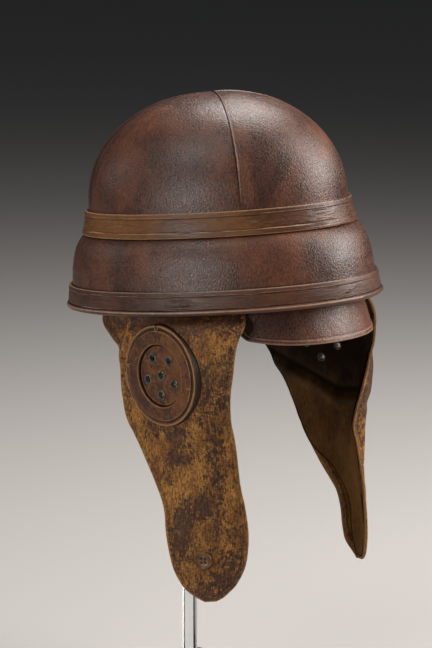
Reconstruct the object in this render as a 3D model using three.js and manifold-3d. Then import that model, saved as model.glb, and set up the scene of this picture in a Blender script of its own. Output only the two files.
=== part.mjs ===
// A leather-covered cork flying helmet with hanging ear flaps, shown on a plain clear stand.
// Millimetres, +Z up, the helmet's front faces -Y, the wearer's right is -X.
// The helmet is drawn in its own frame (z = 0 at the lowest edge of the rim) and then tipped back on the stand.
import * as THREE from "three";
import Module from "manifold-3d";

const wasm = await Module();
wasm.setup();

const DEG = Math.PI / 180;

// ---- Where the helmet sits ----
const RIM_HEIGHT = 365; // rim plane above the underside of the stand
const NOSE_UP = 5.6 * DEG; // the way the helmet leans back on its stand

// ---- Plan shape ----
const EGG = 0.1; // how much wider the plan is behind than in front
const ROUND_STEPS = 36; // facets round the helmet, a quarter of them between two crown seams

// ---- Fits ----
const GAP = 0.35; // clearance kept between neighbouring pieces

// ---- Crown ----
const CROWN = { a: 114.5, b: 95.1, foot: 79.6, top: 170, power: 2.15, fullness: 2.2 };
const CROWN_LEATHER = 1.6;
const SEAM = 48; // how far round from the front the two front seams stand
const SEAM_ANGLES = [-SEAM, SEAM, 180 - SEAM, 180 + SEAM]; // the four crown seams, from the front towards the wearer's right
const SEAM_RIDGE = { height: 1.2, share: 0.022 }; // share of a gore's width taken by each raised edge
const GORE_FOOT = 65; // the gores end under the band
const DOME_ROWS = [1, 0.975, 0.92, 0.81, 0.64, 0.43, 0.2, 0.018];
const CORK_ROWS = [1, 0.92, 0.64, 0.2]; // a coarser set of the same heights

// ---- Head hollow ----
const HOLLOW = { a: 102, b: 82, foot: 72, top: 155, power: 2.15, fullness: 2.2 };
const HOLLOW_ROWS = [1, 0.88, 0.62, 0.3];
const CORK_FOOT = 2;
const CORK_WALL = [
  { z: CORK_FOOT, a: 117.0, b: 96.5 },
  { z: 57.5, a: 116.9, b: 96.4 },
  { z: 64.5, a: 115.6, b: 95.6 },
];

// ---- Band round the crown ----
const BAND = { bottom: 60.2, top: 79.6, a0: 121, b0: 100.8, a1: 116.8, b1: 97.4, thick: 1.75, hem: 3, hemRise: 0.6 };

// ---- Skirt ----
const SKIRT_OUTER = [
  { z: 5.3, a: 136.4, b: 112.5 },
  { z: 19, a: 134.2, b: 110.9 },
  { z: 36, a: 132.1, b: 109.6 },
  { z: 47, a: 129.0, b: 107.2 },
  { z: 53, a: 126.1, b: 104.8 },
  { z: 59.2, a: 119.3, b: 99.1 },
  { z: 64.5, a: 117.7, b: 97.7 },
];
const SKIRT_INNER = [
  { z: 64.5, a: 116.0, b: 96.0 },
  { z: 47, a: 121.8, b: 100.9 },
  { z: 28, a: 126.8, b: 104.8 },
  { z: 5.3, a: 129.6, b: 107.4 },
];

// ---- Rim ----
const BINDING = { bottom: 5.25, top: 19.1, thick: 1.5 };
const BINDING_ROWS = [
  { z: 5.25, a: 138.4, b: 114.4 },
  { z: 19.1, a: 136.0, b: 112.6 },
];
const ROLL = { a: 138.0, b: 113.6, z: 2.45, radius: 2.45, sides: 6 };

// ---- Peak ----
const PEAK = {
  half: 54.5, steps: 12, thick: 2.6,
  tuckTop: 13, tuckFoot: 2, tuckA: 119.95, tuckB: 99.45,
  rimA: 121, rimB: 100.2, edgeA: 130, edgeB: 107, flareDrop: 32,
  drop: 30.5, endDrop: 20.5, bend: 3.6, corner: 5, cornerKeep: 0.3,
  freeFrom: 48.6, freeTop: -2.5, // the ends hang free behind the flaps and don't reach up under the rim
};

// ---- Ear flaps: one row per height ----
// back, knee and edge are the rear edge, the bend in front of the ear and the front edge; bow is how far the flap swells between rear edge and knee.
const FLAP = { thick: 2.4, lining: 1.2, tuckA: 121.9, tuckB: 101.4, tuckTop: 20, tuckFoot: 2, back: 116, mid: 91, knee: 66, edge: 50, across: 7 };
const RIGHT_FLAP = [
  { z: -9, backX: 95.5, backY: 54.0, kneeX: 105.0, kneeY: -47.0, edgeX: 82.0, edgeY: -85.5, bow: 0.5 },
  { z: -20, backX: 97.5, backY: 45.0, kneeX: 107.0, kneeY: -50.0, edgeX: 88.5, edgeY: -83.5, bow: 0 },
  { z: -32, backX: 98.6, backY: 36.4, kneeX: 107.6, kneeY: -50.0, edgeX: 92.5, edgeY: -82.0, bow: 0 },
  { z: -47, backX: 99.3, backY: 35.2, kneeX: 107.6, kneeY: -50.0, edgeX: 95.0, edgeY: -80.5, bow: 0 },
  { z: -65, backX: 99.8, backY: 34.9, kneeX: 107.4, kneeY: -48.0, edgeX: 94.0, edgeY: -75.2, bow: 0 },
  { z: -85, backX: 100.5, backY: 31.6, kneeX: 106.0, kneeY: -45.0, edgeX: 90.0, edgeY: -70.8, bow: 0 },
  { z: -98, backX: 102.0, backY: 23.3, kneeX: 103.5, kneeY: -42.0, edgeX: 87.0, edgeY: -70.3, bow: 0.5 },
  { z: -112, backX: 103.5, backY: 14.6, kneeX: 100.0, kneeY: -44.0, edgeX: 84.0, edgeY: -69.0, bow: 1 },
  { z: -139, backX: 105.0, backY: 0.6, kneeX: 93.5, kneeY: -48.0, edgeX: 79.5, edgeY: -66.4, bow: 2 },
  { z: -158, backX: 105.0, backY: -5.5, kneeX: 89.0, kneeY: -50.0, edgeX: 76.5, edgeY: -67.2, bow: 2 },
  { z: -182, backX: 105.0, backY: -6.2, kneeX: 86.5, kneeY: -49.5, edgeX: 74.0, edgeY: -66.3, bow: 2 },
  { z: -205, backX: 103.5, backY: -8.7, kneeX: 86.2, kneeY: -46.5, edgeX: 75.0, edgeY: -62.2, bow: 2 },
  { z: -220, backX: 101.8, backY: -15.2, kneeX: 88.0, kneeY: -43.5, edgeX: 79.5, edgeY: -55.6, bow: 1.5 },
  { z: -227, backX: 100.3, backY: -22.5, kneeX: 90.0, kneeY: -41.5, edgeX: 83.5, edgeY: -50.0, bow: 1 },
  { z: -231.5, backX: 98.3, backY: -30.0, kneeX: 91.5, kneeY: -40.0, edgeX: 87.2, edgeY: -45.6, bow: 0.5 },
  { z: -234, backX: 96.0, backY: -34.0, kneeX: 92.8, kneeY: -38.2, edgeX: 90.8, edgeY: -41.2, bow: 0 },
];
const LEFT_FLAP = [
  { z: -9, backX: 95.0, backY: 54.0, kneeX: 102.5, kneeY: -50.0, edgeX: 81.0, edgeY: -84.5, bow: 0.5 },
  { z: -20, backX: 95.0, backY: 49.0, kneeX: 105.5, kneeY: -53.0, edgeX: 89.0, edgeY: -84.0, bow: 0 },
  { z: -32, backX: 93.5, backY: 46.0, kneeX: 106.5, kneeY: -55.0, edgeX: 92.0, edgeY: -82.3, bow: 0 },
  { z: -50, backX: 93.0, backY: 42.5, kneeX: 106.6, kneeY: -58.0, edgeX: 96.0, edgeY: -76.6, bow: 0 },
  { z: -68, backX: 95.5, backY: 34.0, kneeX: 104.8, kneeY: -63.5, edgeX: 92.5, edgeY: -72.6, bow: 0 },
  { z: -87, backX: 98.5, backY: 25.0, kneeX: 101.8, kneeY: -65.0, edgeX: 84.0, edgeY: -71.0, bow: 1 },
  { z: -105, backX: 98.5, backY: 17.0, kneeX: 98.0, kneeY: -63.5, edgeX: 79.4, edgeY: -66.5, bow: 2 },
  { z: -121, backX: 95.5, backY: 9.5, kneeX: 95.8, kneeY: -61.0, edgeX: 78.5, edgeY: -61.8, bow: 4 },
  { z: -137, backX: 92.5, backY: 0.0, kneeX: 94.0, kneeY: -60.4, edgeX: 83.5, edgeY: -60.5, bow: 6 },
  { z: -163, backX: 94.0, backY: -15.8, kneeX: 88.0, kneeY: -61.8, edgeX: 84.0, edgeY: -63.6, bow: 8 },
  { z: -180, backX: 98.0, backY: -24.4, kneeX: 85.0, kneeY: -64.4, edgeX: 81.0, edgeY: -66.2, bow: 8 },
  { z: -196, backX: 99.0, backY: -28.1, kneeX: 83.5, kneeY: -65.4, edgeX: 80.0, edgeY: -66.5, bow: 8 },
  { z: -212, backX: 99.0, backY: -28.3, kneeX: 84.0, kneeY: -65.1, edgeX: 80.5, edgeY: -65.7, bow: 7 },
  { z: -227, backX: 97.2, backY: -32.4, kneeX: 85.5, kneeY: -61.8, edgeX: 82.5, edgeY: -62.0, bow: 4 },
  { z: -236, backX: 95.0, backY: -40.5, kneeX: 88.0, kneeY: -57.0, edgeX: 85.8, edgeY: -57.2, bow: 1.5 },
  { z: -240, backX: 92.8, backY: -45.5, kneeX: 90.8, kneeY: -50.5, edgeX: 90.0, edgeY: -51.5, bow: 0 },
];

// ---- Ear discs ----
const RIGHT_DISC = { side: -1, x: 104.3, y: -15.9, z: -48.0, turn: 6.0, pentagonTurn: -4 };
const LEFT_DISC = { side: 1, x: 102.0, y: -18.9, z: -50.2, turn: 7.0, pentagonTurn: 4 };
const EAR_RING = { outer: 41, inner: 25, height: 5.0, shoulder: 1.4, sunk: 5, steps: 22 };
const EAR_PLATE = { radius: 24.5, face: 2.6, sunk: 5, steps: 16 };
const EYELET = { hole: 2.5, barrel: 3.1, flange: 4.5, flangeThick: 0.9, clinch: 4.2, clinchThick: 0.7, circle: 16, steps: 7, depth: 5.8 };
const BUTTON = { x: 94.2, y: -34.6, z: -199.5, turn: -24.4, radius: 7.25, thick: 3.0, rim: 1.5, rimRise: 0.9, hole: 0.95, holeCircle: 2.2, sunk: 2.5, steps: 14 };

// ---- Stand ----
const BASE = { width: 180, depth: 200, thick: 12, y: 10 };
const POST = { side: 10, y: 42.7 };
const PAD = { radius: 48, y: 26, underside: 126, steps: 16 };

// ---- Colours ----
const LOOKS = {
  shell_leather: { color: 0x5a2f22, roughness: 0.42, metalness: 0 },
  band_leather: { color: 0x7a4526, roughness: 0.48, metalness: 0 },
  flap_leather: { color: 0x8a5a2c, roughness: 0.62, metalness: 0 },
  lining: { color: 0x3f2617, roughness: 0.75, metalness: 0 },
  cork: { color: 0x9a6b42, roughness: 0.9, metalness: 0 },
  eyelet_metal: { color: 0x5c6456, roughness: 0.45, metalness: 0.8 },
  button: { color: 0x8c6134, roughness: 0.5, metalness: 0 },
  acrylic: { color: 0xdfe6e6, roughness: 0.08, metalness: 0 },
};

// ================= helpers =================

// A closed triangle skin gathered point by point, each point kept once.
class Skin {
  constructor() {
    this.points = [];
    this.keys = new Map();
    this.faces = [];
  }
  index(p) {
    const key = [p.x, p.y, p.z].map((v) => Math.round(v * 2000)).join(",");
    if (!this.keys.has(key)) {
      this.keys.set(key, this.points.length);
      this.points.push(p.clone());
    }
    return this.keys.get(key);
  }
  triangle(p, q, r) {
    const f = [this.index(p), this.index(q), this.index(r)];
    if (f[0] !== f[1] && f[1] !== f[2] && f[2] !== f[0]) this.faces.push(f);
  }
  quad(p, q, r, s) {
    this.triangle(p, q, r);
    this.triangle(p, r, s);
  }
  solid() {
    const make = (faces) =>
      new wasm.Manifold(
        new wasm.Mesh({
          numProp: 3,
          vertProperties: new Float32Array(this.points.flatMap((p) => [p.x, p.y, p.z])),
          triVerts: new Uint32Array(faces.flat()),
        }),
      );
    const made = make(this.faces);
    return made.volume() > 0 ? made : make(this.faces.map((f) => [f[0], f[2], f[1]]));
  }
}

// A point on an egg-shaped plan oval: angle 0 is the front, 90 the wearer's right.
function oval(a, b, angle, z) {
  const t = angle * DEG;
  return new THREE.Vector3(-b * Math.sin(t) * (1 - EGG * Math.cos(t)), -a * Math.cos(t), z);
}

// The angle of a facet corner: each stretch between two seams has the same number of facets.
function facetAngle(k) {
  const cells = ROUND_STEPS / 4;
  const quarter = Math.floor(k / cells) % 4;
  const from = SEAM_ANGLES[quarter];
  const to = quarter === 3 ? SEAM_ANGLES[0] + 360 : SEAM_ANGLES[quarter + 1];
  return from + ((to - from) * (k % cells)) / cells;
}

// The share of the full plan size left at a height on a rounded crown.
function crownShare(crown, z) {
  const t = Math.max(0, (z - crown.foot) / (crown.top - crown.foot));
  return Math.pow(Math.max(0, 1 - Math.pow(t, crown.power)), 1 / crown.fullness);
}
// The height at which a rounded crown has shrunk to a share of its plan size.
function crownHeight(crown, share) {
  return crown.foot + (crown.top - crown.foot) * Math.pow(1 - Math.pow(share, crown.fullness), 1 / crown.power);
}

// A closed profile of plan rows swept all the way round.
function ringSolid(profile) {
  const skin = new Skin();
  for (let i = 0; i < ROUND_STEPS; i++) {
    const [p, q] = [facetAngle(i), facetAngle(i + 1)];
    profile.forEach((row, j) => {
      const next = profile[(j + 1) % profile.length];
      skin.quad(oval(row.a, row.b, p, row.z), oval(row.a, row.b, q, row.z), oval(next.a, next.b, q, next.z), oval(next.a, next.b, p, next.z));
    });
  }
  return skin.solid();
}

// Two facing grids of points joined round their four borders into one solid.
function shellSolid(outer, inner) {
  const skin = new Skin();
  const rows = outer.length, cols = outer[0].length;
  for (let i = 0; i + 1 < rows; i++) {
    for (let j = 0; j + 1 < cols; j++) {
      skin.quad(outer[i][j], outer[i + 1][j], outer[i + 1][j + 1], outer[i][j + 1]);
      skin.quad(inner[i][j], inner[i][j + 1], inner[i + 1][j + 1], inner[i + 1][j]);
    }
    skin.quad(outer[i][0], inner[i][0], inner[i + 1][0], outer[i + 1][0]);
    skin.quad(outer[i][cols - 1], outer[i + 1][cols - 1], inner[i + 1][cols - 1], inner[i][cols - 1]);
  }
  for (let j = 0; j + 1 < cols; j++) {
    skin.quad(outer[0][j], outer[0][j + 1], inner[0][j + 1], inner[0][j]);
    skin.quad(outer[rows - 1][j], inner[rows - 1][j], inner[rows - 1][j + 1], outer[rows - 1][j + 1]);
  }
  return skin.solid();
}

// A closed lathe profile of {r, h} turned about an axis through a place.
function turnedSolid(profile, steps, place) {
  const skin = new Skin();
  const at = (row, k) => {
    const t = (2 * Math.PI * k) / steps;
    return new THREE.Vector3(row.r * Math.cos(t), row.r * Math.sin(t), row.h).applyMatrix4(place);
  };
  for (let k = 0; k < steps; k++)
    profile.forEach((row, j) => {
      const next = profile[(j + 1) % profile.length];
      skin.quad(at(row, k), at(row, (k + 1) % steps), at(next, (k + 1) % steps), at(next, k));
    });
  return skin.solid();
}

// The frame of a disc standing on a flap: its height axis points away from the head.
function discPlace(side, x, y, z, turn) {
  const out = new THREE.Vector3(side * Math.cos(turn * DEG), Math.sin(turn * DEG), 0);
  const up = new THREE.Vector3(0, 0, 1);
  const across = new THREE.Vector3().crossVectors(up, out);
  return new THREE.Matrix4().makeBasis(across, up, out).setPosition(side * x, y, z);
}

function largest(solid) {
  return solid.decompose().sort((p, q) => q.volume() - p.volume())[0];
}

// ================= crown, skirt and rim =================

function corkDome() {
  const outer = CORK_WALL.slice();
  const inside = { a: CROWN.a - CROWN_LEATHER - GAP, b: CROWN.b - CROWN_LEATHER - GAP, foot: CROWN.foot, top: CROWN.top - CROWN_LEATHER - GAP, power: CROWN.power, fullness: CROWN.fullness };
  const domeRows = (crown, shares) => shares.map((s) => ({ z: crownHeight(crown, s), a: crown.a * s, b: crown.b * s }));
  outer.push(...domeRows(inside, CORK_ROWS), { z: inside.top, a: 0, b: 0 });
  const inner = [{ z: HOLLOW.top, a: 0, b: 0 }, ...domeRows(HOLLOW, HOLLOW_ROWS.slice().reverse()), { z: CORK_FOOT, a: HOLLOW.a, b: HOLLOW.b }];
  const skin = new Skin();
  const profile = [...outer, ...inner];
  for (let i = 0; i < ROUND_STEPS; i++) {
    const [p, q] = [facetAngle(i), facetAngle(i + 1)];
    profile.forEach((row, j) => {
      const next = profile[(j + 1) % profile.length];
      if (row.a === 0 && next.a === 0) return;
      skin.quad(oval(row.a, row.b, p, row.z), oval(row.a, row.b, q, row.z), oval(next.a, next.b, q, next.z), oval(next.a, next.b, p, next.z));
    });
  }
  return skin.solid();
}

// One crown gore between two seams, its edges raised where it meets its neighbours.
function gore(from, to) {
  const cells = ROUND_STEPS / 4;
  const lip = SEAM_RIDGE.share;
  const stations = [0, lip, ...Array.from({ length: cells - 1 }, (_, k) => (k + 1) / cells), 1 - lip, 1];
  const grid = (inset, ridge) => {
    const crown = { ...CROWN, a: CROWN.a - inset, b: CROWN.b - inset, top: CROWN.top - inset };
    const rows = [{ z: GORE_FOOT, a: 117.6 - inset, b: 97.6 - inset, rise: 0 }];
    DOME_ROWS.forEach((s, k) => rows.push({ z: crownHeight(crown, s), a: crown.a * s, b: crown.b * s, rise: k > 0 ? ridge : 0 }));
    return rows.map((row) => {
      return stations.map((u) => {
        const angle = from + (to - from) * u;
        const edge = u === 0 || u === 1 ? row.rise : 0;
        const share = Math.min(1, row.a / CROWN.a);
        const p = oval(row.a + edge * share, row.b + edge * share, angle, row.z + edge * Math.sqrt(Math.max(0, 1 - share * share)));
        // keep each edge a hair clear of the seam plane
        const start = oval(1, CROWN.b / CROWN.a, from, 0), end = oval(1, CROWN.b / CROWN.a, to, 0);
        const off = (dir, towards) => {
          const n = new THREE.Vector3(-dir.y, dir.x, 0).normalize();
          return n.multiplyScalar(n.dot(towards) > 0 ? 1 : -1);
        };
        p.addScaledVector(off(start, end), 0.17 * (1 - u));
        p.addScaledVector(off(end, start), 0.17 * u);
        return p;
      });
    });
  };
  return shellSolid(grid(0, SEAM_RIDGE.height), grid(CROWN_LEATHER, 0));
}

function band() {
  const at = (z, rise) => {
    const s = (z - BAND.bottom) / (BAND.top - BAND.bottom);
    return { z, a: BAND.a0 + (BAND.a1 - BAND.a0) * s + rise, b: BAND.b0 + (BAND.b1 - BAND.b0) * s + rise };
  };
  return ringSolid([
    at(BAND.bottom, 0), at(BAND.bottom + BAND.hem, BAND.hemRise), at(BAND.top - BAND.hem, BAND.hemRise), at(BAND.top, 0),
    at(BAND.top, -BAND.thick), at(BAND.bottom, -BAND.thick),
  ]);
}

function binding() {
  const outer = BINDING_ROWS;
  const inner = outer.map((r) => ({ z: r.z, a: r.a - BINDING.thick, b: r.b - BINDING.thick })).reverse();
  return ringSolid([...outer, ...inner]);
}

function rimRoll() {
  const profile = Array.from({ length: ROLL.sides }, (_, k) => {
    const t = (2 * Math.PI * k) / ROLL.sides;
    const grow = 1 / Math.cos(Math.PI / ROLL.sides);
    return { z: ROLL.z + ROLL.radius * grow * Math.sin(t), a: ROLL.a + ROLL.radius * Math.cos(t) * grow, b: ROLL.b + ROLL.radius * Math.cos(t) * grow };
  });
  return ringSolid(profile);
}

// ================= peak =================

function peak() {
  const angles = [];
  for (let k = 0; k <= PEAK.steps; k++) angles.push(-PEAK.half + (2 * PEAK.half * k) / PEAK.steps);
  // extra sections round each lower corner and where each end leaves the rim
  [0.35, 0.72].forEach((s) => angles.push(-PEAK.half + PEAK.corner * (1 - s), PEAK.half - PEAK.corner * (1 - s)));
  [-0.1, 0.1].forEach((s) => angles.push(-PEAK.freeFrom + s, PEAK.freeFrom + s));
  angles.sort((p, q) => p - q);
  const grid = (inset) =>
    angles.map((angle) => {
      const s = Math.abs(angle) / PEAK.half;
      let drop = PEAK.drop - (PEAK.drop - PEAK.endDrop) * Math.pow(s, PEAK.bend);
      const c = (Math.abs(angle) - (PEAK.half - PEAK.corner)) / PEAK.corner;
      if (c > 0) drop *= PEAK.cornerKeep + (1 - PEAK.cornerKeep) * Math.sqrt(Math.max(0, 1 - c * c));
      const flare = (z) => {
        const w = Math.max(0, -z / PEAK.flareDrop);
        return { a: PEAK.rimA + (PEAK.edgeA - PEAK.rimA) * w - inset, b: PEAK.rimB + (PEAK.edgeB - PEAK.rimB) * w - inset };
      };
      const held = Math.abs(angle) < PEAK.freeFrom;
      const top = [PEAK.tuckTop, PEAK.tuckFoot].map((z) => ({ z, a: PEAK.tuckA - inset, b: PEAK.tuckB - inset }));
      const free = [PEAK.freeTop, PEAK.freeTop - 1].map((z) => ({ z, ...flare(z) }));
      const rows = [...(held ? top : free), ...[0.3, 0.62, 0.86, 1].map((t) => ({ z: -drop * t, ...flare(-drop * t) }))];
      return rows.map((row) => oval(row.a, row.b, angle, row.z));
    });
  return shellSolid(grid(0), grid(PEAK.thick));
}

// ================= ear flaps =================

// The outer face of a flap: rows from the tucked top to the tip, stations from rear edge to front edge.
function flapFace(table, side) {
  const stations = Array.from({ length: FLAP.across }, (_, k) => k / (FLAP.across - 1));
  const tuckAngles = [FLAP.back, FLAP.mid, FLAP.knee, FLAP.edge];
  const mixed = (t) => {
    const k = Math.min(2, Math.floor(t * 3));
    return tuckAngles[k] + (tuckAngles[k + 1] - tuckAngles[k]) * (t * 3 - k);
  };
  const rows = [FLAP.tuckTop, FLAP.tuckFoot].map((z) =>
    stations.map((t) => {
      const p = oval(FLAP.tuckA, FLAP.tuckB, mixed(t), z);
      p.x *= -side;
      return p;
    }),
  );
  for (const row of table) {
    const back = new THREE.Vector3(side * row.backX, row.backY, row.z);
    const knee = new THREE.Vector3(side * row.kneeX, row.kneeY, row.z);
    const edge = new THREE.Vector3(side * row.edgeX, row.edgeY, row.z);
    const out = new THREE.Vector3(side * Math.abs(back.y - knee.y), (side * (knee.x - back.x)), 0).normalize();
    const mid = back.clone().add(knee).multiplyScalar(0.5).addScaledVector(out, row.bow);
    const curve = new THREE.CatmullRomCurve3([back, mid, knee, edge], false, "catmullrom", 0.5);
    rows.push(stations.map((t) => curve.getPoint(t)));
  }
  return rows;
}

// A face moved along its own outward direction.
function moved(rows, side, distance) {
  const last = rows.length - 1, end = rows[0].length - 1;
  return rows.map((row, i) =>
    row.map((p, j) => {
      const down = rows[Math.min(i + 1, last)][j].clone().sub(rows[Math.max(i - 1, 0)][j]);
      const across = row[Math.min(j + 1, end)].clone().sub(row[Math.max(j - 1, 0)]);
      const n = new THREE.Vector3().crossVectors(across, down).normalize();
      if (n.x * side < 0) n.negate();
      if (i < 2) n.setZ(0).normalize();
      return p.clone().addScaledVector(n, distance);
    }),
  );
}

function layer(face, side, top, bottom) {
  return shellSolid(moved(face, side, top), moved(face, side, bottom));
}

function eyeletSpots(disc) {
  const spots = [{ u: 0, v: 0 }];
  for (let k = 0; k < 5; k++) {
    const t = (-90 + disc.pentagonTurn + 72 * k) * DEG;
    spots.push({ u: EYELET.circle * Math.cos(t), v: EYELET.circle * Math.sin(t) });
  }
  return spots;
}

function earPieces(table, disc, name) {
  const side = disc.side;
  const face = flapFace(table, side);
  const place = discPlace(side, disc.x, disc.y, disc.z, disc.turn);
  const cutter = layer(face, side, GAP, -12);
  const spots = eyeletSpots(disc);
  const shaft = (spot, r, low, high, steps) =>
    turnedSolid([{ r: 0, h: low }, { r, h: low }, { r, h: high }, { r: 0, h: high }], steps, place.clone().multiply(new THREE.Matrix4().makeTranslation(spot.u, spot.v, 0)));
  let holes = null;
  for (const spot of spots) {
    const one = shaft(spot, EYELET.barrel + GAP, -16, 12, EYELET.steps);
    holes = holes ? holes.add(one) : one;
  }
  const R = EAR_RING;
  const ring = turnedSolid(
    [
      { r: R.inner, h: -R.sunk }, { r: R.inner, h: R.height - R.shoulder }, { r: R.inner + 1.4, h: R.height - 0.4 }, { r: (R.inner + R.outer) / 2, h: R.height },
      { r: R.outer - 1.6, h: R.height - 0.6 }, { r: R.outer, h: R.height - R.shoulder - 0.8 }, { r: R.outer, h: -R.sunk },
    ],
    R.steps, place,
  );
  const plate = shaft({ u: 0, v: 0 }, EAR_PLATE.radius, -EAR_PLATE.sunk, EAR_PLATE.face, EAR_PLATE.steps);
  const E = EYELET;
  const top = EAR_PLATE.face + GAP;
  const eyelets = spots.map((spot, k) => [
    `eyelet_${name}_${k + 1}`,
    turnedSolid(
      [
        { r: E.hole, h: top + E.flangeThick }, { r: E.flange, h: top }, { r: E.barrel, h: top },
        { r: E.barrel, h: -E.depth }, { r: E.clinch, h: -E.depth }, { r: E.hole, h: -E.depth - E.clinchThick },
      ],
      E.steps, place.clone().multiply(new THREE.Matrix4().makeTranslation(spot.u, spot.v, 0)),
    ),
    "eyelet_metal",
  ]);
  return [
    [`ear_flap_${name}`, largest(layer(face, side, 0, -FLAP.thick).subtract(holes)), "flap_leather"],
    [`flap_lining_${name}`, largest(layer(face, side, -FLAP.thick - GAP, -FLAP.thick - GAP - FLAP.lining).subtract(holes)), "lining"],
    [`ear_ring_${name}`, largest(ring.subtract(cutter)), "shell_leather"],
    [`ear_plate_${name}`, largest(plate.subtract(cutter).subtract(holes)), "shell_leather"],
    ...eyelets,
  ];
}

function flapButton() {
  const B = BUTTON;
  const place = discPlace(-1, B.x, B.y, B.z, B.turn);
  const body = turnedSolid(
    [
      { r: 0, h: -B.sunk }, { r: B.radius, h: -B.sunk }, { r: B.radius, h: B.thick - 0.6 }, { r: B.radius - B.rim / 2, h: B.thick + B.rimRise - 0.4 },
      { r: B.radius - B.rim, h: B.thick }, { r: 0, h: B.thick - 0.3 },
    ],
    B.steps, place,
  );
  const cutter = layer(flapFace(RIGHT_FLAP, -1), -1, GAP, -8);
  let made = body.subtract(cutter);
  for (const [u, v] of [[1, 1], [1, -1], [-1, 1], [-1, -1]]) {
    const spot = new THREE.Matrix4().makeTranslation((u * B.holeCircle) / Math.SQRT2, (v * B.holeCircle) / Math.SQRT2, 0);
    made = made.subtract(turnedSolid([{ r: 0, h: -9 }, { r: B.hole, h: -9 }, { r: B.hole, h: 9 }, { r: 0, h: 9 }], 5, place.clone().multiply(spot)));
  }
  return largest(made);
}

// ================= stand =================

function block(x, y, z, w, d, h) {
  const g = new THREE.BoxGeometry(w, d, h).translate(x, y, z + h / 2).toNonIndexed();
  const skin = new Skin();
  const pos = g.getAttribute("position");
  const at = (k) => new THREE.Vector3().fromBufferAttribute(pos, k);
  for (let k = 0; k < pos.count; k += 3) skin.triangle(at(k), at(k + 1), at(k + 2));
  return skin.solid();
}

// The hidden pad fills the top of the hollow above a level underside.
function standPad() {
  const room = { ...HOLLOW, a: HOLLOW.a - 0.5, b: HOLLOW.b - 0.5, top: HOLLOW.top - 0.5 };
  const rows = [{ z: 60, a: 0, b: 0 }, { z: 60, a: room.a, b: room.b }];
  HOLLOW_ROWS.forEach((s) => rows.push({ z: crownHeight(room, s), a: room.a * s, b: room.b * s }));
  rows.push({ z: room.top, a: 0, b: 0 });
  const tip = new THREE.Matrix4().makeTranslation(0, 0, RIM_HEIGHT).multiply(new THREE.Matrix4().makeRotationX(-NOSE_UP));
  const skin = new Skin();
  for (let i = 0; i < ROUND_STEPS; i++)
    for (let j = 0; j + 1 < rows.length; j++) {
      const [p, q] = [facetAngle(i), facetAngle(i + 1)];
      const pt = (row, angle) => oval(row.a, row.b, angle, row.z).applyMatrix4(tip);
      skin.quad(pt(rows[j], p), pt(rows[j], q), pt(rows[j + 1], q), pt(rows[j + 1], p));
    }
  const puck = turnedSolid(
    [{ r: 0, h: 0 }, { r: PAD.radius, h: 0 }, { r: PAD.radius, h: 60 }, { r: 0, h: 60 }],
    PAD.steps, new THREE.Matrix4().makeTranslation(0, PAD.y, RIM_HEIGHT + PAD.underside),
  );
  return largest(skin.solid().intersect(puck));
}

// ================= assembly =================

function meshOf(name, solid, look) {
  const m = solid.getMesh();
  const positions = new Float32Array((m.vertProperties.length / m.numProp) * 3);
  for (let k = 0; k * m.numProp < m.vertProperties.length; k++)
    for (let c = 0; c < 3; c++) positions[k * 3 + c] = m.vertProperties[k * m.numProp + c];
  const g = new THREE.BufferGeometry();
  g.setAttribute("position", new THREE.BufferAttribute(positions, 3));
  g.setIndex(new THREE.BufferAttribute(new Uint32Array(m.triVerts), 1));
  g.computeVertexNormals();
  const mesh = new THREE.Mesh(g, new THREE.MeshStandardMaterial(LOOKS[look]));
  mesh.name = name;
  return mesh;
}

const helmet = new THREE.Group();
helmet.name = "helmet";
helmet.position.z = RIM_HEIGHT;
helmet.rotation.x = -NOSE_UP;
const goreNames = ["front", "right", "back", "left"];
const helmetPieces = [
  ["cork_dome", corkDome(), "cork"],
  ...SEAM_ANGLES.map((from, k) => [`crown_gore_${goreNames[k]}`, gore(from, k === 3 ? SEAM_ANGLES[0] + 360 : SEAM_ANGLES[k + 1]), "shell_leather"]),
  ["skirt", ringSolid([...SKIRT_OUTER, ...SKIRT_INNER]), "shell_leather"],
  ["hat_band", band(), "band_leather"],
  ["rim_binding", binding(), "shell_leather"],
  ["rim_roll", rimRoll(), "shell_leather"],
  ["peak", peak(), "shell_leather"],
  ...earPieces(RIGHT_FLAP, RIGHT_DISC, "right"),
  ...earPieces(LEFT_FLAP, LEFT_DISC, "left"),
  ["flap_button", flapButton(), "button"],
];
for (const [name, solid, look] of helmetPieces) helmet.add(meshOf(name, solid, look));

const stand = new THREE.Group();
stand.name = "stand";
const standPieces = [
  ["stand_base", block(0, BASE.y, 0, BASE.width, BASE.depth, BASE.thick), "acrylic"],
  ["stand_post", block(0, POST.y, BASE.thick + GAP, POST.side, POST.side, RIM_HEIGHT + PAD.underside - GAP - BASE.thick - GAP), "acrylic"],
  ["stand_pad", standPad(), "acrylic"],
];
for (const [name, solid, look] of standPieces) stand.add(meshOf(name, solid, look));

const part = new THREE.Group();
part.name = "cork_flying_helmet";
part.add(helmet, stand);
export default part;
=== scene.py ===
"""Dresses a leather-covered cork flying helmet, with hanging ear flaps, on its plain clear stand."""

import logging
import math
from dataclasses import dataclass, field
from enum import Enum
from typing import Callable, Iterable, Sequence

import bmesh
import bpy
from mathutils import Matrix, Vector, noise
from mathutils.bvhtree import BVHTree
from mathutils.kdtree import KDTree


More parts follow.
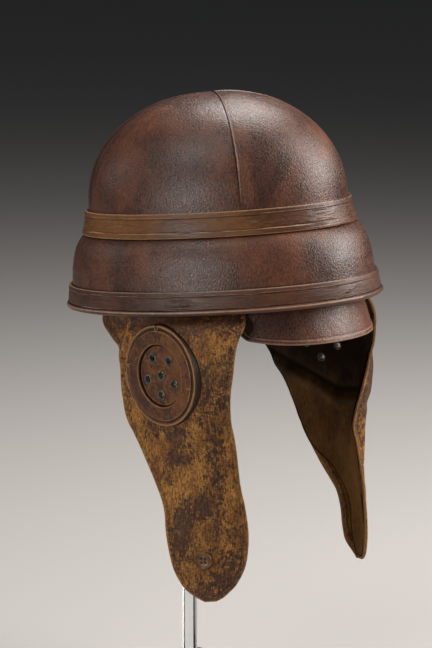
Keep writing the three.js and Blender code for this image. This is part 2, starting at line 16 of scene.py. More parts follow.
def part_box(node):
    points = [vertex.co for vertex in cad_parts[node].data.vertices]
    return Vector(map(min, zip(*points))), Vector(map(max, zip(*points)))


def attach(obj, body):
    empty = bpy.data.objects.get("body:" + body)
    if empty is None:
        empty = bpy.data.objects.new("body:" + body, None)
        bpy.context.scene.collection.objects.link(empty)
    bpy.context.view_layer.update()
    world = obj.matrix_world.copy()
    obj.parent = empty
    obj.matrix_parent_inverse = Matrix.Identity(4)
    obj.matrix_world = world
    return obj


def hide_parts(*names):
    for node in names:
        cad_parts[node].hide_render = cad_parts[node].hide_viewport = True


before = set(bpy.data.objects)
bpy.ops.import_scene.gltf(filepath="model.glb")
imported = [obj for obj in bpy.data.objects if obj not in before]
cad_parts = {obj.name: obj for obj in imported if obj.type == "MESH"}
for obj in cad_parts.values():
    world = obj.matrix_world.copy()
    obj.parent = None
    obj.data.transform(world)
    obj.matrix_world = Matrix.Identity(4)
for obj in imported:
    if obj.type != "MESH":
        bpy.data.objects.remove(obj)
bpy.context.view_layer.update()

LOG = logging.getLogger("helmet")
ROOT = "root"
MM = 0.001
RIM_HEIGHT = 365.0  # rim plane above the underside of the stand
SMOOTH_ANGLE = math.radians(42)  # edges sharper than this stay sharp
NOSE_UP = math.radians(5.6)
EGG = 0.1  # how much wider the plan is behind than in front
TO_RIM = Matrix.Translation((0, 0, RIM_HEIGHT * MM)) @ Matrix.Rotation(-NOSE_UP, 4, "X")
TO_WORLD = TO_RIM @ Matrix.Scale(MM, 4)  # from the helmet's own frame, in millimetres
FAR = 9.0  # an edge distance that shows no wear

Color = tuple[float, float, float]
Pair = tuple[float, float]
Row = tuple[float, float, float]  # a, b, z of one plan oval, in millimetres
Stain = tuple[float, float, float, float]  # angle from the front, height, spread, strength
Place = Callable[[float, float], Vector]  # a sheet's point, across and down, each from 0 to 1
Inset = Callable[[float], Pair]  # from height to how far a layer stops short at its rear and front
Relief = Callable[[Vector, float, float], tuple[float, float, float]]
Sheet = tuple[bpy.types.Object, list[Vector], list[float], list[float]]


class Side(Enum):
    """The wearer's right or left, as the sign of X."""

    RIGHT = -1
    LEFT = 1


class Slot(Enum):
    """The record's material slots."""

    SHELL = "shell_leather"
    BAND = "band_leather"
    FLAP = "flap_leather"
    LINING = "lining"
    CORK = "cork"
    METAL = "eyelet_metal"
    BUTTON = "button"
    ACRYLIC = "acrylic"


class Lay(Enum):
    """How a leather's pattern lies: through space, or round and up a strip."""

    SOLID = "solid"
    ROUND = "round"


# ------------------------------------------------------------------ small maths


def oval(a: float, b: float, angle: float, z: float) -> Vector:
    """A point on the egg-shaped plan.

    Args:
        a: half length, front to back.
        b: half width.
        angle: radians from the front towards the wearer's right.
        z: height.
    Returns:
        The point in the helmet's own frame, in millimetres.
    """
    return Vector((-b * math.sin(angle) * (1 - EGG * math.cos(angle)), -a * math.cos(angle), z))


def smoothstep(low: float, high: float, value: float) -> float:
    """A soft step from 0 at low to 1 at high."""
    t = max(0.0, min(1.0, (value - low) / (high - low)))
    return t * t * (3 - 2 * t)


def bump(value: float, centre: float, width: float) -> float:
    """A round hill of height 1 at centre."""
    return math.exp(-(((value - centre) / width) ** 2))


def spline(points: Sequence[Sequence[float]], t: float) -> list[float]:
    """A smooth curve through points.

    Args:
        points: the values it goes through, each a tuple of numbers.
        t: 0 at the first point and 1 at the last.
    Returns:
        The values at t.
    """
    last = len(points) - 1
    x = max(0.0, min(1.0, t)) * last
    k = min(int(x), last - 1)
    f = x - k
    p1, p2 = points[k], points[k + 1]
    p0 = points[k - 1] if k > 0 else [2 * u - v for u, v in zip(p1, p2)]
    p3 = points[k + 2] if k + 2 <= last else [2 * v - u for u, v in zip(p1, p2)]
    return [
        0.5 * (2 * b + (c - a) * f + (2 * a - 5 * b + 4 * c - d) * f * f + (3 * b - a - 3 * c + d) * f**3)
        for a, b, c, d in zip(p0, p1, p2, p3)
    ]


def ripple(point: Vector, size: float, seed: float, octaves: int = 3) -> float:
    """Seeded soft noise from about -1 to 1, with hills about size across."""
    return noise.fractal(point / size + Vector((seed, seed * 1.7, -seed)), 1.0, 2.0, octaves)


@dataclass(frozen=True)
class Mark:
    """A darker mark (strength above 0) or a lighter one (below 0): a stain or bare place, or on the flaps
    painted shade or painted light; where it lies and how far it spreads each way.
    """

    place: tuple[float, float, float]
    spread: tuple[float, float, float]
    strength: float

    def at(self, p: Vector) -> float:
        """How strongly the mark shows at a point."""
        away = sum(((a - b) / s) ** 2 for a, b, s in zip(p, self.place, self.spread))
        return self.strength * math.exp(-away) if away < 9 else 0.0


# ------------------------------------------------------------------ modelling bench


class Bench:
    """The hand operations that every piece is modelled with, in millimetres until a piece is placed."""

    @staticmethod
    def clear() -> None:
        """Deselects everything."""
        if bpy.context.mode != "OBJECT":
            bpy.ops.object.mode_set(mode="OBJECT")
        bpy.ops.object.select_all(action="DESELECT")

    @staticmethod
    def pick(obj: bpy.types.Object) -> None:
        """Makes obj the only selected and active object."""
        Bench.clear()
        obj.select_set(True)
        bpy.context.view_layer.objects.active = obj

    @staticmethod
    def spun(name: str, profile: Sequence[tuple[float, float]], steps: int) -> bpy.types.Object:
        """Extrudes one point along a closed profile and spins it round the upright axis.

        Args:
            name: the piece's name.
            profile: radius and height pairs.
            steps: facets round.
        Returns:
            The round piece, facing out.
        """
        Bench.clear()
        bpy.ops.mesh.primitive_plane_add(size=1, location=(0, 0, 0))
        obj = bpy.context.object
        obj.name = name
        bpy.ops.object.mode_set(mode="EDIT")
        bpy.ops.mesh.merge(type="CENTER")
        path = [Vector((0, -r, z)) for r, z in profile]
        bpy.ops.transform.translate(value=path[0])
        for p, q in zip(path, path[1:]):
            bpy.ops.mesh.extrude_region_move(TRANSFORM_OT_translate={"value": q - p})
        bpy.ops.object.mode_set(mode="OBJECT")
        for v in obj.data.vertices:
            v.select = (v.co - path[0]).length < 1e-4 or (v.co - path[-1]).length < 1e-4
        bpy.ops.object.mode_set(mode="EDIT")
        bpy.ops.mesh.edge_face_add()
        bpy.ops.mesh.select_all(action="SELECT")
        bpy.ops.mesh.spin(steps=steps, angle=2 * math.pi, center=(0, 0, 0), axis=(0, 0, 1))
        bpy.ops.mesh.select_all(action="SELECT")
        bpy.ops.mesh.remove_doubles(threshold=1e-4)
        bpy.ops.mesh.normals_make_consistent(inside=False)
        bpy.ops.object.mode_set(mode="OBJECT")
        return obj

    @staticmethod
    def woven(name: str, columns: int, rows: int, place: Place) -> bpy.types.Object:
        """Subdivides a plane and lays it on a curved surface.

        Args:
            name: the piece's name.
            columns: faces across.
            rows: faces down.
            place: where the sheet's point (across, down), each from 0 to 1, goes.
        Returns:
            The curved sheet, facing away from the helmet's middle.
        """
        Bench.clear()
        bpy.ops.mesh.primitive_grid_add(
            x_subdivisions=columns, y_subdivisions=rows, size=2, location=(0, 0, 0)
        )
        obj = bpy.context.object
        obj.name = name
        mesh = obj.data
        for v in mesh.vertices:
            v.co = place((v.co.x + 1) / 2, (1 - v.co.y) / 2)
        mesh.update()
        facing = 0.0
        for face in mesh.polygons:
            c = face.center
            facing += face.normal.dot(Vector((c.x, c.y, max(0.0, c.z - 40)))) * face.area
        if facing < 0:
            mesh.flip_normals()
            mesh.update()
        return obj

    @staticmethod
    def egg(obj: bpy.types.Object, rows: Sequence[Row]) -> None:
        """Turns a round piece into the egg-shaped plan, each ring by the profile row that it came from."""
        tree = KDTree(len(rows))
        for k, (a, _b, z) in enumerate(rows):
            tree.insert((a, 0, z), k)
        tree.balance()
        for v in obj.data.vertices:
            _, k, _ = tree.find((math.hypot(v.co.x, v.co.y), 0, v.co.z))
            v.co = oval(rows[k][0], rows[k][1], math.atan2(-v.co.x, -v.co.y), v.co.z)
        obj.data.update()

    @staticmethod
    def edge_distance(obj: bpy.types.Object, counts: Callable[[Vector], bool]) -> list[float]:
        """How far each vertex of an open sheet lies from its border.

        Args:
            obj: the sheet.
            counts: whether a border vertex at that place counts.
        Returns:
            One distance in millimetres for each vertex.
        """
        bm = bmesh.new()
        bm.from_mesh(obj.data)
        border = []
        for e in bm.edges:
            if e.is_boundary and counts((e.verts[0].co + e.verts[1].co) / 2):
                border += [e.verts[0].co.lerp(e.verts[1].co, f / 4) for f in range(5)]
        tree = KDTree(len(border))
        for k, p in enumerate(border):
            tree.insert(p, k)
        tree.balance()
        found = [tree.find(v.co)[2] for v in bm.verts]
        bm.free()
        return found

    @staticmethod
    def note(obj: bpy.types.Object, **values: Iterable[float]) -> None:
        """Stores one number for each vertex under each name that the finishes read."""
        for name, numbers in values.items():
            attribute = obj.data.attributes.get(name) or obj.data.attributes.new(name, "FLOAT", "POINT")
            attribute.data.foreach_set("value", list(numbers))

    @staticmethod
    def round_map(obj: bpy.types.Object, radius: float = 118.0) -> None:
        """Gives a ring a UV map in metres, round it and up it."""
        mesh = obj.data
        layer = mesh.uv_layers.new(name="round")
        for face in mesh.polygons:
            points = [mesh.vertices[k].co for k in face.vertices]
            angles = [math.atan2(-p.x, -p.y) for p in points]
            wraps = max(angles) - min(angles) > math.pi
            for loop, angle, p in zip(face.loop_indices, angles, points):
                turn = 2 * math.pi if wraps and angle < 0 else 0.0
                layer.data[loop].uv = ((angle + turn) * radius * MM, p.z * MM)

    @staticmethod
    def apply(obj: bpy.types.Object, kind: str, **settings: object) -> None:
        """Adds a modifier with its settings and applies it."""
        Bench.pick(obj)
        modifier = obj.modifiers.new(kind.title(), kind)
        for key, value in settings.items():
            setattr(modifier, key, value)
        bpy.ops.object.modifier_apply(modifier=modifier.name)

    @staticmethod
    def settle(obj: bpy.types.Object, matrix: Matrix = TO_WORLD) -> bpy.types.Object:
        """Bakes the piece's place into its mesh and smooths it."""
        obj.data.transform(matrix @ obj.matrix_world)
        obj.matrix_world = Matrix.Identity(4)
        obj.data.update()
        Bench.pick(obj)
        bpy.ops.object.shade_smooth_by_angle(angle=SMOOTH_ANGLE)
        Bench.clear()
        return obj

    @staticmethod
    def joined(name: str, pieces: Sequence[bpy.types.Object]) -> bpy.types.Object:
        """Joins pieces into one named piece."""
        Bench.clear()
        for p in pieces:
            p.select_set(True)
        bpy.context.view_layer.objects.active = pieces[0]
        bpy.ops.object.join()
        made = bpy.context.object
        made.name = name
        Bench.clear()
        return made

    @staticmethod
    def copied(obj: bpy.types.Object, name: str, matrix: Matrix) -> bpy.types.Object:
        """A copy with its own mesh, placed by a matrix."""
        made = bpy.data.objects.new(name, obj.data.copy())
        bpy.context.scene.collection.objects.link(made)
        made.data.transform(matrix)
        return made

    @staticmethod
    def strand(
        radius: float, pull: tuple[float, float, float], place: Matrix, sides: int = 10
    ) -> bpy.types.Object:
        """A ball pulled out into one short thread.

        Args:
            radius: the ball's radius.
            pull: how far it is stretched each way.
            place: where it goes.
            sides: facets round.
        Returns:
            The thread.
        """
        Bench.clear()
        bpy.ops.mesh.primitive_uv_sphere_add(segments=sides, ring_count=6, radius=radius, location=(0, 0, 0))
        obj = bpy.context.object
        bpy.ops.object.mode_set(mode="EDIT")
        bpy.ops.mesh.select_all(action="SELECT")
        bpy.ops.transform.resize(value=pull)
        bpy.ops.object.mode_set(mode="OBJECT")
        obj.data.transform(place)
        return obj

    @staticmethod
    def drilled(obj: bpy.types.Object, spots: Iterable[Pair], radius: float, place: Matrix) -> None:
        """Cuts round holes along a frame's own Z axis.

        Args:
            obj: the piece to cut.
            spots: the holes' places in the frame.
            radius: their radius.
            place: the frame.
        """
        cutters = []
        for u, v in spots:
            Bench.clear()
            bpy.ops.mesh.primitive_cylinder_add(vertices=28, radius=radius, depth=40, location=(u, v, -2))
            cutter = bpy.context.object
            cutter.data.transform(cutter.matrix_world)
            cutter.matrix_world = Matrix.Identity(4)
            cutters.append(cutter)
        cutter = Bench.joined("hole_cutter", cutters)
        cutter.data.transform(place)
        Bench.apply(obj, "BOOLEAN", object=cutter, operation="DIFFERENCE", solver="EXACT")
        bpy.data.objects.remove(cutter)


def keep(obj: bpy.types.Object, slot: Slot, finish: "Leather | Plain", *nodes: str) -> None:
    """Hands a finished piece over.

    Args:
        obj: the piece.
        slot: its material slot; not used.
        finish: its finish.
        nodes: the solids that it stands for.
    """
    obj.data.materials.clear()
    obj.data.materials.append(finish.material())
    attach(obj, ROOT)
    if nodes:
        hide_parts(*nodes)
    LOG.info("%s: %d faces", obj.name, len(obj.data.polygons))


# ------------------------------------------------------------------ shader node groups


class Wiring:
    """A node tree with short names for adding and joining nodes."""

    def __init__(self, tree: bpy.types.NodeTree) -> None:
        """Keeps the tree."""
        self.tree = tree

    def add(
        self, kind: str, inputs: dict[object, object] | None = None, **settings: object
    ) -> bpy.types.Node:
        """Adds a node.

        Args:
            kind: the node's type without its ShaderNode prefix.
            inputs: values or sockets for its inputs, by name or number.
            settings: the node's own settings.
        Returns:
            The node.
        """
        node = self.tree.nodes.new("ShaderNode" + kind)
        for key, value in settings.items():
            setattr(node, key, value)
        for key, value in (inputs or {}).items():
            if isinstance(value, bpy.types.NodeSocket):
                self.tree.links.new(value, node.inputs[key])
            else:
                node.inputs[key].default_value = value
        return node

    def math(self, operation: str, *values: object, clamp: bool = False) -> bpy.types.NodeSocket:
        """The result of a Math node."""
        return self.add("Math", dict(enumerate(values)), operation=operation, use_clamp=clamp).outputs[0]

    def around(self, value: object, amount: object) -> bpy.types.NodeSocket:
        """A value from 0 to 1 made to swing about 0 by an amount."""
        return self.math("MULTIPLY", self.math("SUBTRACT", value, 0.5), amount)

    def mix(self, factor: object, a: object, b: object) -> bpy.types.NodeSocket:
        """The colour result of a Mix node."""
        return self.add("Mix", {0: factor, 6: a, 7: b}, data_type="RGBA").outputs[2]

    def ramp(
        self, value: object, low: object, high: object, to: Pair = (0.0, 1.0)
    ) -> bpy.types.NodeSocket:
        """A value mapped softly from one range to another."""
        inputs = {0: value, 1: low, 2: high, 3: to[0], 4: to[1]}
        return self.add("MapRange", inputs, interpolation_type="SMOOTHSTEP").outputs[0]

    def noise(
        self, vector: object, scale: object, detail: float = 4.0, rough: float = 0.55, twist: float = 0.0
    ) -> bpy.types.NodeSocket:
        """The value of a Noise texture."""
        inputs = {"Vector": vector, "Scale": scale, "Detail": detail, "Roughness": rough, "Distortion": twist}
        return self.add("TexNoise", inputs).outputs["Fac"]

    def moved(self, vector: object, by: float) -> bpy.types.NodeSocket:
        """A pattern's place shifted, so that it doesn't repeat another."""
        return self.add("VectorMath", {0: vector, 1: (by, by * 0.7, -by)}, operation="ADD").outputs[0]

    def pulled(self, vector: object, scale: tuple[float, float, float]) -> bpy.types.NodeSocket:
        """A pattern's place stretched."""
        return self.add("Mapping", {"Vector": vector, "Scale": scale}).outputs[0]

    def use(self, group: bpy.types.NodeTree, inputs: dict[str, object]) -> bpy.types.Node:
        """Places a group with its own values."""
        node = self.tree.nodes.new("ShaderNodeGroup")
        node.node_tree = group
        for key, value in inputs.items():
            if isinstance(value, bpy.types.NodeSocket):
                self.tree.links.new(value, node.inputs[key])
            else:
                node.inputs[key].default_value = value
        return node


FLOAT, VECTOR, COLOR = "NodeSocketFloat", "NodeSocketVector", "NodeSocketColor"


class Groups:
    """The shader effects that several finishes share, each built once."""

    made: dict[str, bpy.types.NodeTree] = {}

    @classmethod
    def new(
        cls, name: str, inputs: dict[str, str], outputs: dict[str, str]
    ) -> tuple[Wiring, dict[str, bpy.types.NodeSocket], bpy.types.Node]:
        """Starts a group.

        Args:
            name: the group's name.
            inputs: name and socket kind of each input.
            outputs: name and socket kind of each output.
        Returns:
            Its wiring, its inputs by name, and its output node.
        """
        tree = bpy.data.node_groups.new(name, "ShaderNodeTree")
        for label, kind in inputs.items():
            tree.interface.new_socket(name=label, in_out="INPUT", socket_type=kind)
        for label, kind in outputs.items():
            tree.interface.new_socket(name=label, in_out="OUTPUT", socket_type=kind)
        source = tree.nodes.new("NodeGroupInput")
        cls.made[name] = tree
        return Wiring(tree), {s.name: s for s in source.outputs}, tree.nodes.new("NodeGroupOutput")

    @classmethod
    def coat(cls) -> bpy.types.NodeTree:
        """A dark top coat worn through in patches and specks to the leather under it, steered by the stored
        patch values, some of which are painted shade and painted light.
        """
        name = "worn top coat"
        if name in cls.made:
            return cls.made[name]
        colors = {"Under": COLOR, "Under Deep": COLOR, "Coat": COLOR, "Coat Deep": COLOR}
        numbers = {"Patch": FLOAT, "Cover": FLOAT, "Softness": FLOAT, "Scale": FLOAT, "Speck": FLOAT}
        w, i, out = cls.new(name, {"Vector": VECTOR, **colors, **numbers}, {"Color": COLOR, "Mask": FLOAT})
        big = w.noise(i["Vector"], i["Scale"], 6.0, 0.6, 0.5)
        middle = w.noise(w.moved(i["Vector"], 4.1), w.math("MULTIPLY", i["Scale"], 7.0), 5.0, 0.68, 0.4)
        small = w.math("MULTIPLY", i["Scale"], 26.0)
        upright = w.noise(w.pulled(i["Vector"], (1.0, 1.0, 0.3)), small, 3.0, 0.65)
        level = w.noise(w.pulled(w.moved(i["Vector"], 9.3), (0.34, 0.34, 1.1)), small, 3.0, 0.65)
        fine = w.math("MULTIPLY", w.math("ADD", upright, level), 0.5)
        value = w.math("ADD", big, w.math("MULTIPLY", i["Patch"], 0.26))
        value = w.math("ADD", value, w.around(middle, i["Speck"]))
        value = w.math("ADD", value, w.around(fine, w.math("MULTIPLY", i["Speck"], 1.5)))
        low = w.math("SUBTRACT", i["Cover"], i["Softness"])
        high = w.math("ADD", i["Cover"], i["Softness"])
        mask = w.ramp(value, low, high)
        tone = w.noise(w.moved(i["Vector"], 2.3), w.math("MULTIPLY", i["Scale"], 2.3), 6.0, 0.65)
        under = w.mix(w.ramp(tone, 0.38, 0.64), i["Under"], i["Under Deep"])
        over = w.mix(w.ramp(middle, 0.36, 0.64), i["Coat"], i["Coat Deep"])
        w.tree.links.new(w.mix(mask, under, over), out.inputs["Color"])
        w.tree.links.new(mask, out.inputs["Mask"])
        return w.tree

    @classmethod
    def grain(cls) -> bpy.types.NodeTree:
        """Leather grain: drawn-out streaks, fine pebbles and hair cracks as one height."""
        name = "leather grain"
        if name in cls.made:
            return cls.made[name]
        numbers = {"Streak": FLOAT, "Pebble": FLOAT, "Crack": FLOAT, "Crack Depth": FLOAT}
        inputs = {"Vector": VECTOR, "Pulled": VECTOR, **numbers}
        w, i, out = cls.new(name, inputs, {"Height": FLOAT, "Streaks": FLOAT, "Cracks": FLOAT})
        streaks = w.noise(i["Pulled"], i["Streak"], 4.0, 0.68, 0.3)
        pebbles = {"Vector": i["Vector"], "Scale": i["Pebble"]}
        cells = w.add("TexVoronoi", pebbles, feature="F1").outputs["Distance"]
        wide = w.noise(i["Vector"], 26.0, 3.0)
        swing = w.add("TexNoise", {"Vector": i["Vector"], "Scale": 60.0, "Detail": 2.0}).outputs["Color"]
        swung = w.add("VectorMath", {0: swing, 1: (0.006,) * 3}, operation="MULTIPLY").outputs[0]
        bent = w.add("VectorMath", {0: i["Vector"], 1: swung}, operation="ADD").outputs[0]
        cracks = {"Vector": bent, "Scale": i["Crack"]}
        lines = w.add("TexVoronoi", cracks, feature="DISTANCE_TO_EDGE").outputs["Distance"]
        crack = w.math("MULTIPLY", w.ramp(lines, 0.0, 0.055, (1.0, 0.0)), w.ramp(wide, 0.45, 0.62))
        height = w.math("ADD", w.math("MULTIPLY", cells, -0.9), w.math("MULTIPLY", streaks, 1.5))
        height = w.math("SUBTRACT", height, w.math("MULTIPLY", crack, i["Crack Depth"]))
        for label, socket in (("Height", height), ("Streaks", streaks), ("Cracks", crack)):
            w.tree.links.new(socket, out.inputs[label])
        return w.tree

    @classmethod
    def wear_and_shading(cls) -> bpy.types.NodeTree:
        """Rubbed edges, ridges lightened by rubbed wear and painted highlight, and painted shade in creases
        and grooves: masks from the stored edge distance and shading value, broken up by noise.
        """
        name = "edge wear"
        if name in cls.made:
            return cls.made[name]
        inputs = {"Vector": VECTOR, "Distance": FLOAT, "Crease": FLOAT, "Width": FLOAT, "Breakup": FLOAT}
        w, i, out = cls.new(name, inputs, {"Rubbed": FLOAT, "Painted Shade": FLOAT})
        rough = w.noise(i["Vector"], 190.0, 5.0, 0.65)
        swing = w.around(rough, w.math("MULTIPLY", i["Breakup"], 7.0))
        reach = w.math("MULTIPLY", i["Width"], w.math("ADD", 1.0, swing))
        away = w.math("DIVIDE", i["Distance"], w.math("MAXIMUM", reach, 0.05))
        edge = w.math("SUBTRACT", 1.0, away, clamp=True)
        ridge = w.math("ADD", i["Crease"], w.around(rough, w.math("MULTIPLY", i["Breakup"], 1.6)))
        # ridges lighter: partly rubbed wear, partly painted highlight
        raised = w.math("MULTIPLY", w.ramp(ridge, 0.1, 0.8), w.ramp(i["Crease"], 0.05, 0.4))
        w.tree.links.new(w.math("MAXIMUM", edge, raised), out.inputs["Rubbed"])
        # painted shade wherever the stored shading value is below zero
        w.tree.links.new(w.ramp(i["Crease"], -0.1, -0.9), out.inputs["Painted Shade"])
        return w.tree


# ------------------------------------------------------------------ finishes


@dataclass(frozen=True)
class Leather:
    """A worn leather: its two layers, its gloss and its grain."""

    name: str
    under: Color
    under_deep: Color
    coat: Color
    coat_deep: Color
    # the colour of rubbed edges, also laid on ridges as painted highlight
    rubbed: Color
    cover: float = 0.5
    softness: float = 0.12
    scale: float = 16.0
    speck: float = 0.15
    lay: Lay = Lay.SOLID
    pull: tuple[float, float, float] = (1.0, 1.0, 0.16)
    streak: float = 900.0
    streak_tone: float = 0.5
    roughness: float = 0.42
    rough_spread: float = 0.3
    bare_rough: float = 0.1
    pebble: float = 900.0
    crack: float = 120.0
    crack_depth: float = 0.3
    bump_mm: float = 0.07
    edge_width: float = 1.0
    edge_strength: float = 0.7
    breakup: float = 0.6
    specular: float = 0.5

    def material(self) -> bpy.types.Material:
        """Builds the material once."""
        found = bpy.data.materials.get(self.name)
        if found:
            return found
        made = bpy.data.materials.new(self.name)
        made.use_nodes = True
        tree = made.node_tree
        tree.nodes.clear()
        w = Wiring(tree)
        if self.lay is Lay.ROUND:
            place = w.add("UVMap", uv_map="round").outputs[0]
        else:
            place = w.add("TexCoord").outputs["Object"]
        edge, crease, patch = (
            w.add("Attribute", attribute_name=name).outputs["Fac"] for name in ("edge", "crease", "patch")
        )
        coat = w.use(Groups.coat(), {
            "Vector": w.pulled(place, tuple(s**0.3 for s in self.pull)), "Patch": patch,
            "Under": (*self.under, 1), "Under Deep": (*self.under_deep, 1),
            "Coat": (*self.coat, 1), "Coat Deep": (*self.coat_deep, 1),
            "Cover": self.cover, "Softness": self.softness, "Scale": self.scale, "Speck": self.speck,
        })
        grain = w.use(Groups.grain(), {
            "Vector": place, "Pulled": w.pulled(place, self.pull), "Streak": self.streak,
            "Pebble": self.pebble, "Crack": self.crack, "Crack Depth": self.crack_depth,
        })
        wear_and_shading = w.use(Groups.wear_and_shading(), {
            "Vector": place, "Distance": edge, "Crease": crease,
            "Width": self.edge_width, "Breakup": self.breakup,
        })
        shade = w.math("ADD", 1.0, w.around(grain.outputs["Streaks"], self.streak_tone * 4))
        shaded = {0: coat.outputs["Color"], "Scale": w.math("MAXIMUM", shade, 0.2)}
        color = w.add("VectorMath", shaded, operation="SCALE").outputs[0]
        # rubbed edges, and ridges lightened by rubbed wear and painted highlight
        rub_and_highlight = w.math("MULTIPLY", wear_and_shading.outputs["Rubbed"], self.edge_strength)
        color = w.mix(rub_and_highlight, color, (*self.rubbed, 1))
        # painted shade in creases, grooves, recesses and under parts, towards a darkened deep coat colour;
        # the same dark also fills the hair cracks
        dark = tuple(c * 0.3 for c in self.coat_deep) + (1,)
        color = w.mix(w.math("MULTIPLY", wear_and_shading.outputs["Painted Shade"], 0.85), color, dark)
        color = w.mix(w.math("MULTIPLY", grain.outputs["Cracks"], min(0.6, self.crack_depth)), color, dark)
        bare = w.math("MULTIPLY", w.math("SUBTRACT", 1.0, coat.outputs["Mask"]), self.bare_rough)
        rough = w.math("ADD", self.roughness, w.around(grain.outputs["Streaks"], self.rough_spread * 2))
        rough = w.math("ADD", rough, bare)
        rough = w.math("ADD", rough, w.math("MULTIPLY", rub_and_highlight, 0.1), clamp=True)
        relief = {"Strength": 1.0, "Distance": self.bump_mm * MM, "Height": grain.outputs["Height"]}
        inputs = {
            "Base Color": color, "Roughness": rough, "Normal": w.add("Bump", relief).outputs[0],
            "Specular IOR Level": self.specular,
        }
        tree.links.new(w.add("BsdfPrincipled", inputs).outputs[0], w.add("OutputMaterial").inputs[0])
        return made


ACRYLIC_IOR = 1.49


@dataclass(frozen=True)
class Plain:
    """A plainer finish, such as metal, thread or a clear plastic."""

    name: str
    base: Color
    second: Color
    roughness: float
    metallic: float = 0.0
    clear: float = 0.0
    scale: float = 200.0
    bump_mm: float = 0.05

    def material(self) -> bpy.types.Material:
        """Builds the material once."""
        found = bpy.data.materials.get(self.name)
        if found:
            return found
        made = bpy.data.materials.new(self.name)
        made.use_nodes = True
        tree = made.node_tree
        tree.nodes.clear()
        w = Wiring(tree)
        mottle = w.noise(w.add("TexCoord").outputs["Object"], self.scale, 5.0, 0.6)
        if self.clear:
            rough = w.ramp(mottle, 0.3, 0.8, (self.roughness, self.roughness + 0.05))
            inputs = {
                "Base Color": (*self.base, 1), "Roughness": rough, "IOR": ACRYLIC_IOR,
                "Transmission Weight": self.clear,
            }
        else:
            color = w.mix(w.ramp(mottle, 0.4, 0.65), (*self.base, 1), (*self.second, 1))
            rough = w.ramp(mottle, 0.3, 0.7, (self.roughness - 0.08, self.roughness + 0.1))
            relief = {"Strength": 0.8, "Distance": self.bump_mm * MM, "Height": mottle}
            normal = w.add("Bump", relief).outputs[0]
            inputs = {"Base Color": color, "Roughness": rough, "Metallic": self.metallic, "Normal": normal}
        tree.links.new(w.add("BsdfPrincipled", inputs).outputs[0], w.add("OutputMaterial").inputs[0])
        return made


SHELL = Leather(
    "shell leather", under=(0.115, 0.04, 0.018), under_deep=(0.072, 0.026, 0.013),
    coat=(0.064, 0.028, 0.019), coat_deep=(0.038, 0.018, 0.013), rubbed=(0.26, 0.145, 0.09),
    cover=0.49, softness=0.15, scale=15.0, speck=0.14, pull=(1.0, 1.0, 0.34), streak=1050.0,
    streak_tone=0.5, roughness=0.325, rough_spread=0.45, pebble=560.0, bump_mm=0.16, specular=0.45,
    crack_depth=0.0, edge_width=0.9, edge_strength=0.75,
)
BAND_LEATHER = Leather(
    "band leather", under=(0.138, 0.056, 0.013), under_deep=(0.092, 0.036, 0.01),
    coat=(0.08, 0.03, 0.013), coat_deep=(0.052, 0.022, 0.012), rubbed=(0.4, 0.25, 0.14),
    cover=0.52, softness=0.14, scale=12.0, speck=0.12, lay=Lay.ROUND, pull=(0.2, 1.0, 1.0),
    streak=700.0, streak_tone=0.25, roughness=0.4, rough_spread=0.3, bump_mm=0.07, specular=0.38,
    crack_depth=0.0, edge_width=0.85, edge_strength=0.85, breakup=0.35,
)
BINDING_LEATHER = Leather(
    "binding leather", under=(0.095, 0.037, 0.018), under_deep=(0.062, 0.026, 0.014),
    coat=(0.056, 0.026, 0.018), coat_deep=(0.035, 0.017, 0.012), rubbed=(0.36, 0.22, 0.15),
    cover=0.5, softness=0.14, scale=14.0, speck=0.14, lay=Lay.ROUND, pull=(0.3, 1.0, 1.0),
    streak=700.0, streak_tone=0.22, roughness=0.4, rough_spread=0.35, bump_mm=0.08, specular=0.38,
    crack_depth=0.0, edge_width=0.85, edge_strength=0.85, breakup=0.35,
)
FLAP_LEATHER = Leather(
    "flap leather", under=(0.275, 0.13, 0.032), under_deep=(0.155, 0.066, 0.018),
    coat=(0.088, 0.04, 0.019), coat_deep=(0.05, 0.023, 0.013), rubbed=(0.31, 0.16, 0.055),
    cover=0.57, softness=0.12, scale=30.0, speck=1.15, pull=(1.0, 1.0, 0.42), streak=760.0,
    streak_tone=1.1, roughness=0.55, crack=430.0, crack_depth=0.5, bump_mm=0.14,
    edge_width=1.4, edge_strength=0.8, specular=0.2,
)
DISC_LEATHER = Leather(
    "disc leather", under=(0.14, 0.056, 0.018), under_deep=(0.092, 0.034, 0.012),
    coat=(0.07, 0.028, 0.013), coat_deep=(0.045, 0.019, 0.011), rubbed=(0.34, 0.19, 0.085),
    cover=0.53, softness=0.1, scale=26.0, speck=0.7, pull=(1.0, 1.0, 0.7), streak=800.0,
    streak_tone=0.6, roughness=0.5, crack_depth=0.1, bump_mm=0.09, breakup=0.4,
    edge_strength=0.85, specular=0.28,
)
LINING_LEATHER = Leather(
    "lining leather", under=(0.2, 0.1, 0.03), under_deep=(0.12, 0.056, 0.018),
    coat=(0.022, 0.011, 0.004), coat_deep=(0.013, 0.007, 0.003), rubbed=(0.1, 0.055, 0.02),
    cover=0.44, softness=0.24, scale=12.0, speck=0.2, streak_tone=0.45, roughness=0.75,
    crack_depth=0.0, bump_mm=0.05, edge_strength=0.5, specular=0.1,
)
CORK = Plain(
    "moulded cork", base=(0.33, 0.18, 0.085), second=(0.16, 0.08, 0.04),
    roughness=0.85, scale=340.0, bump_mm=0.5,
)
METAL = Plain(
    "tarnished metal", base=(0.13, 0.13, 0.1), second=(0.035, 0.034, 0.026),
    roughness=0.55, metallic=0.4, scale=500.0,
)
THREAD = Plain(
    "waxed thread", base=(0.16, 0.09, 0.04), second=(0.07, 0.038, 0.019), roughness=0.7, scale=900.0
)
LIGHT_THREAD = Plain(
    "rubbed thread", base=(0.36, 0.21, 0.1), second=(0.2, 0.11, 0.055), roughness=0.7, scale=900.0
)
BUTTON_HORN = Plain(
    "horn button", base=(0.15, 0.07, 0.022), second=(0.045, 0.02, 0.009), roughness=0.4, scale=260.0
)
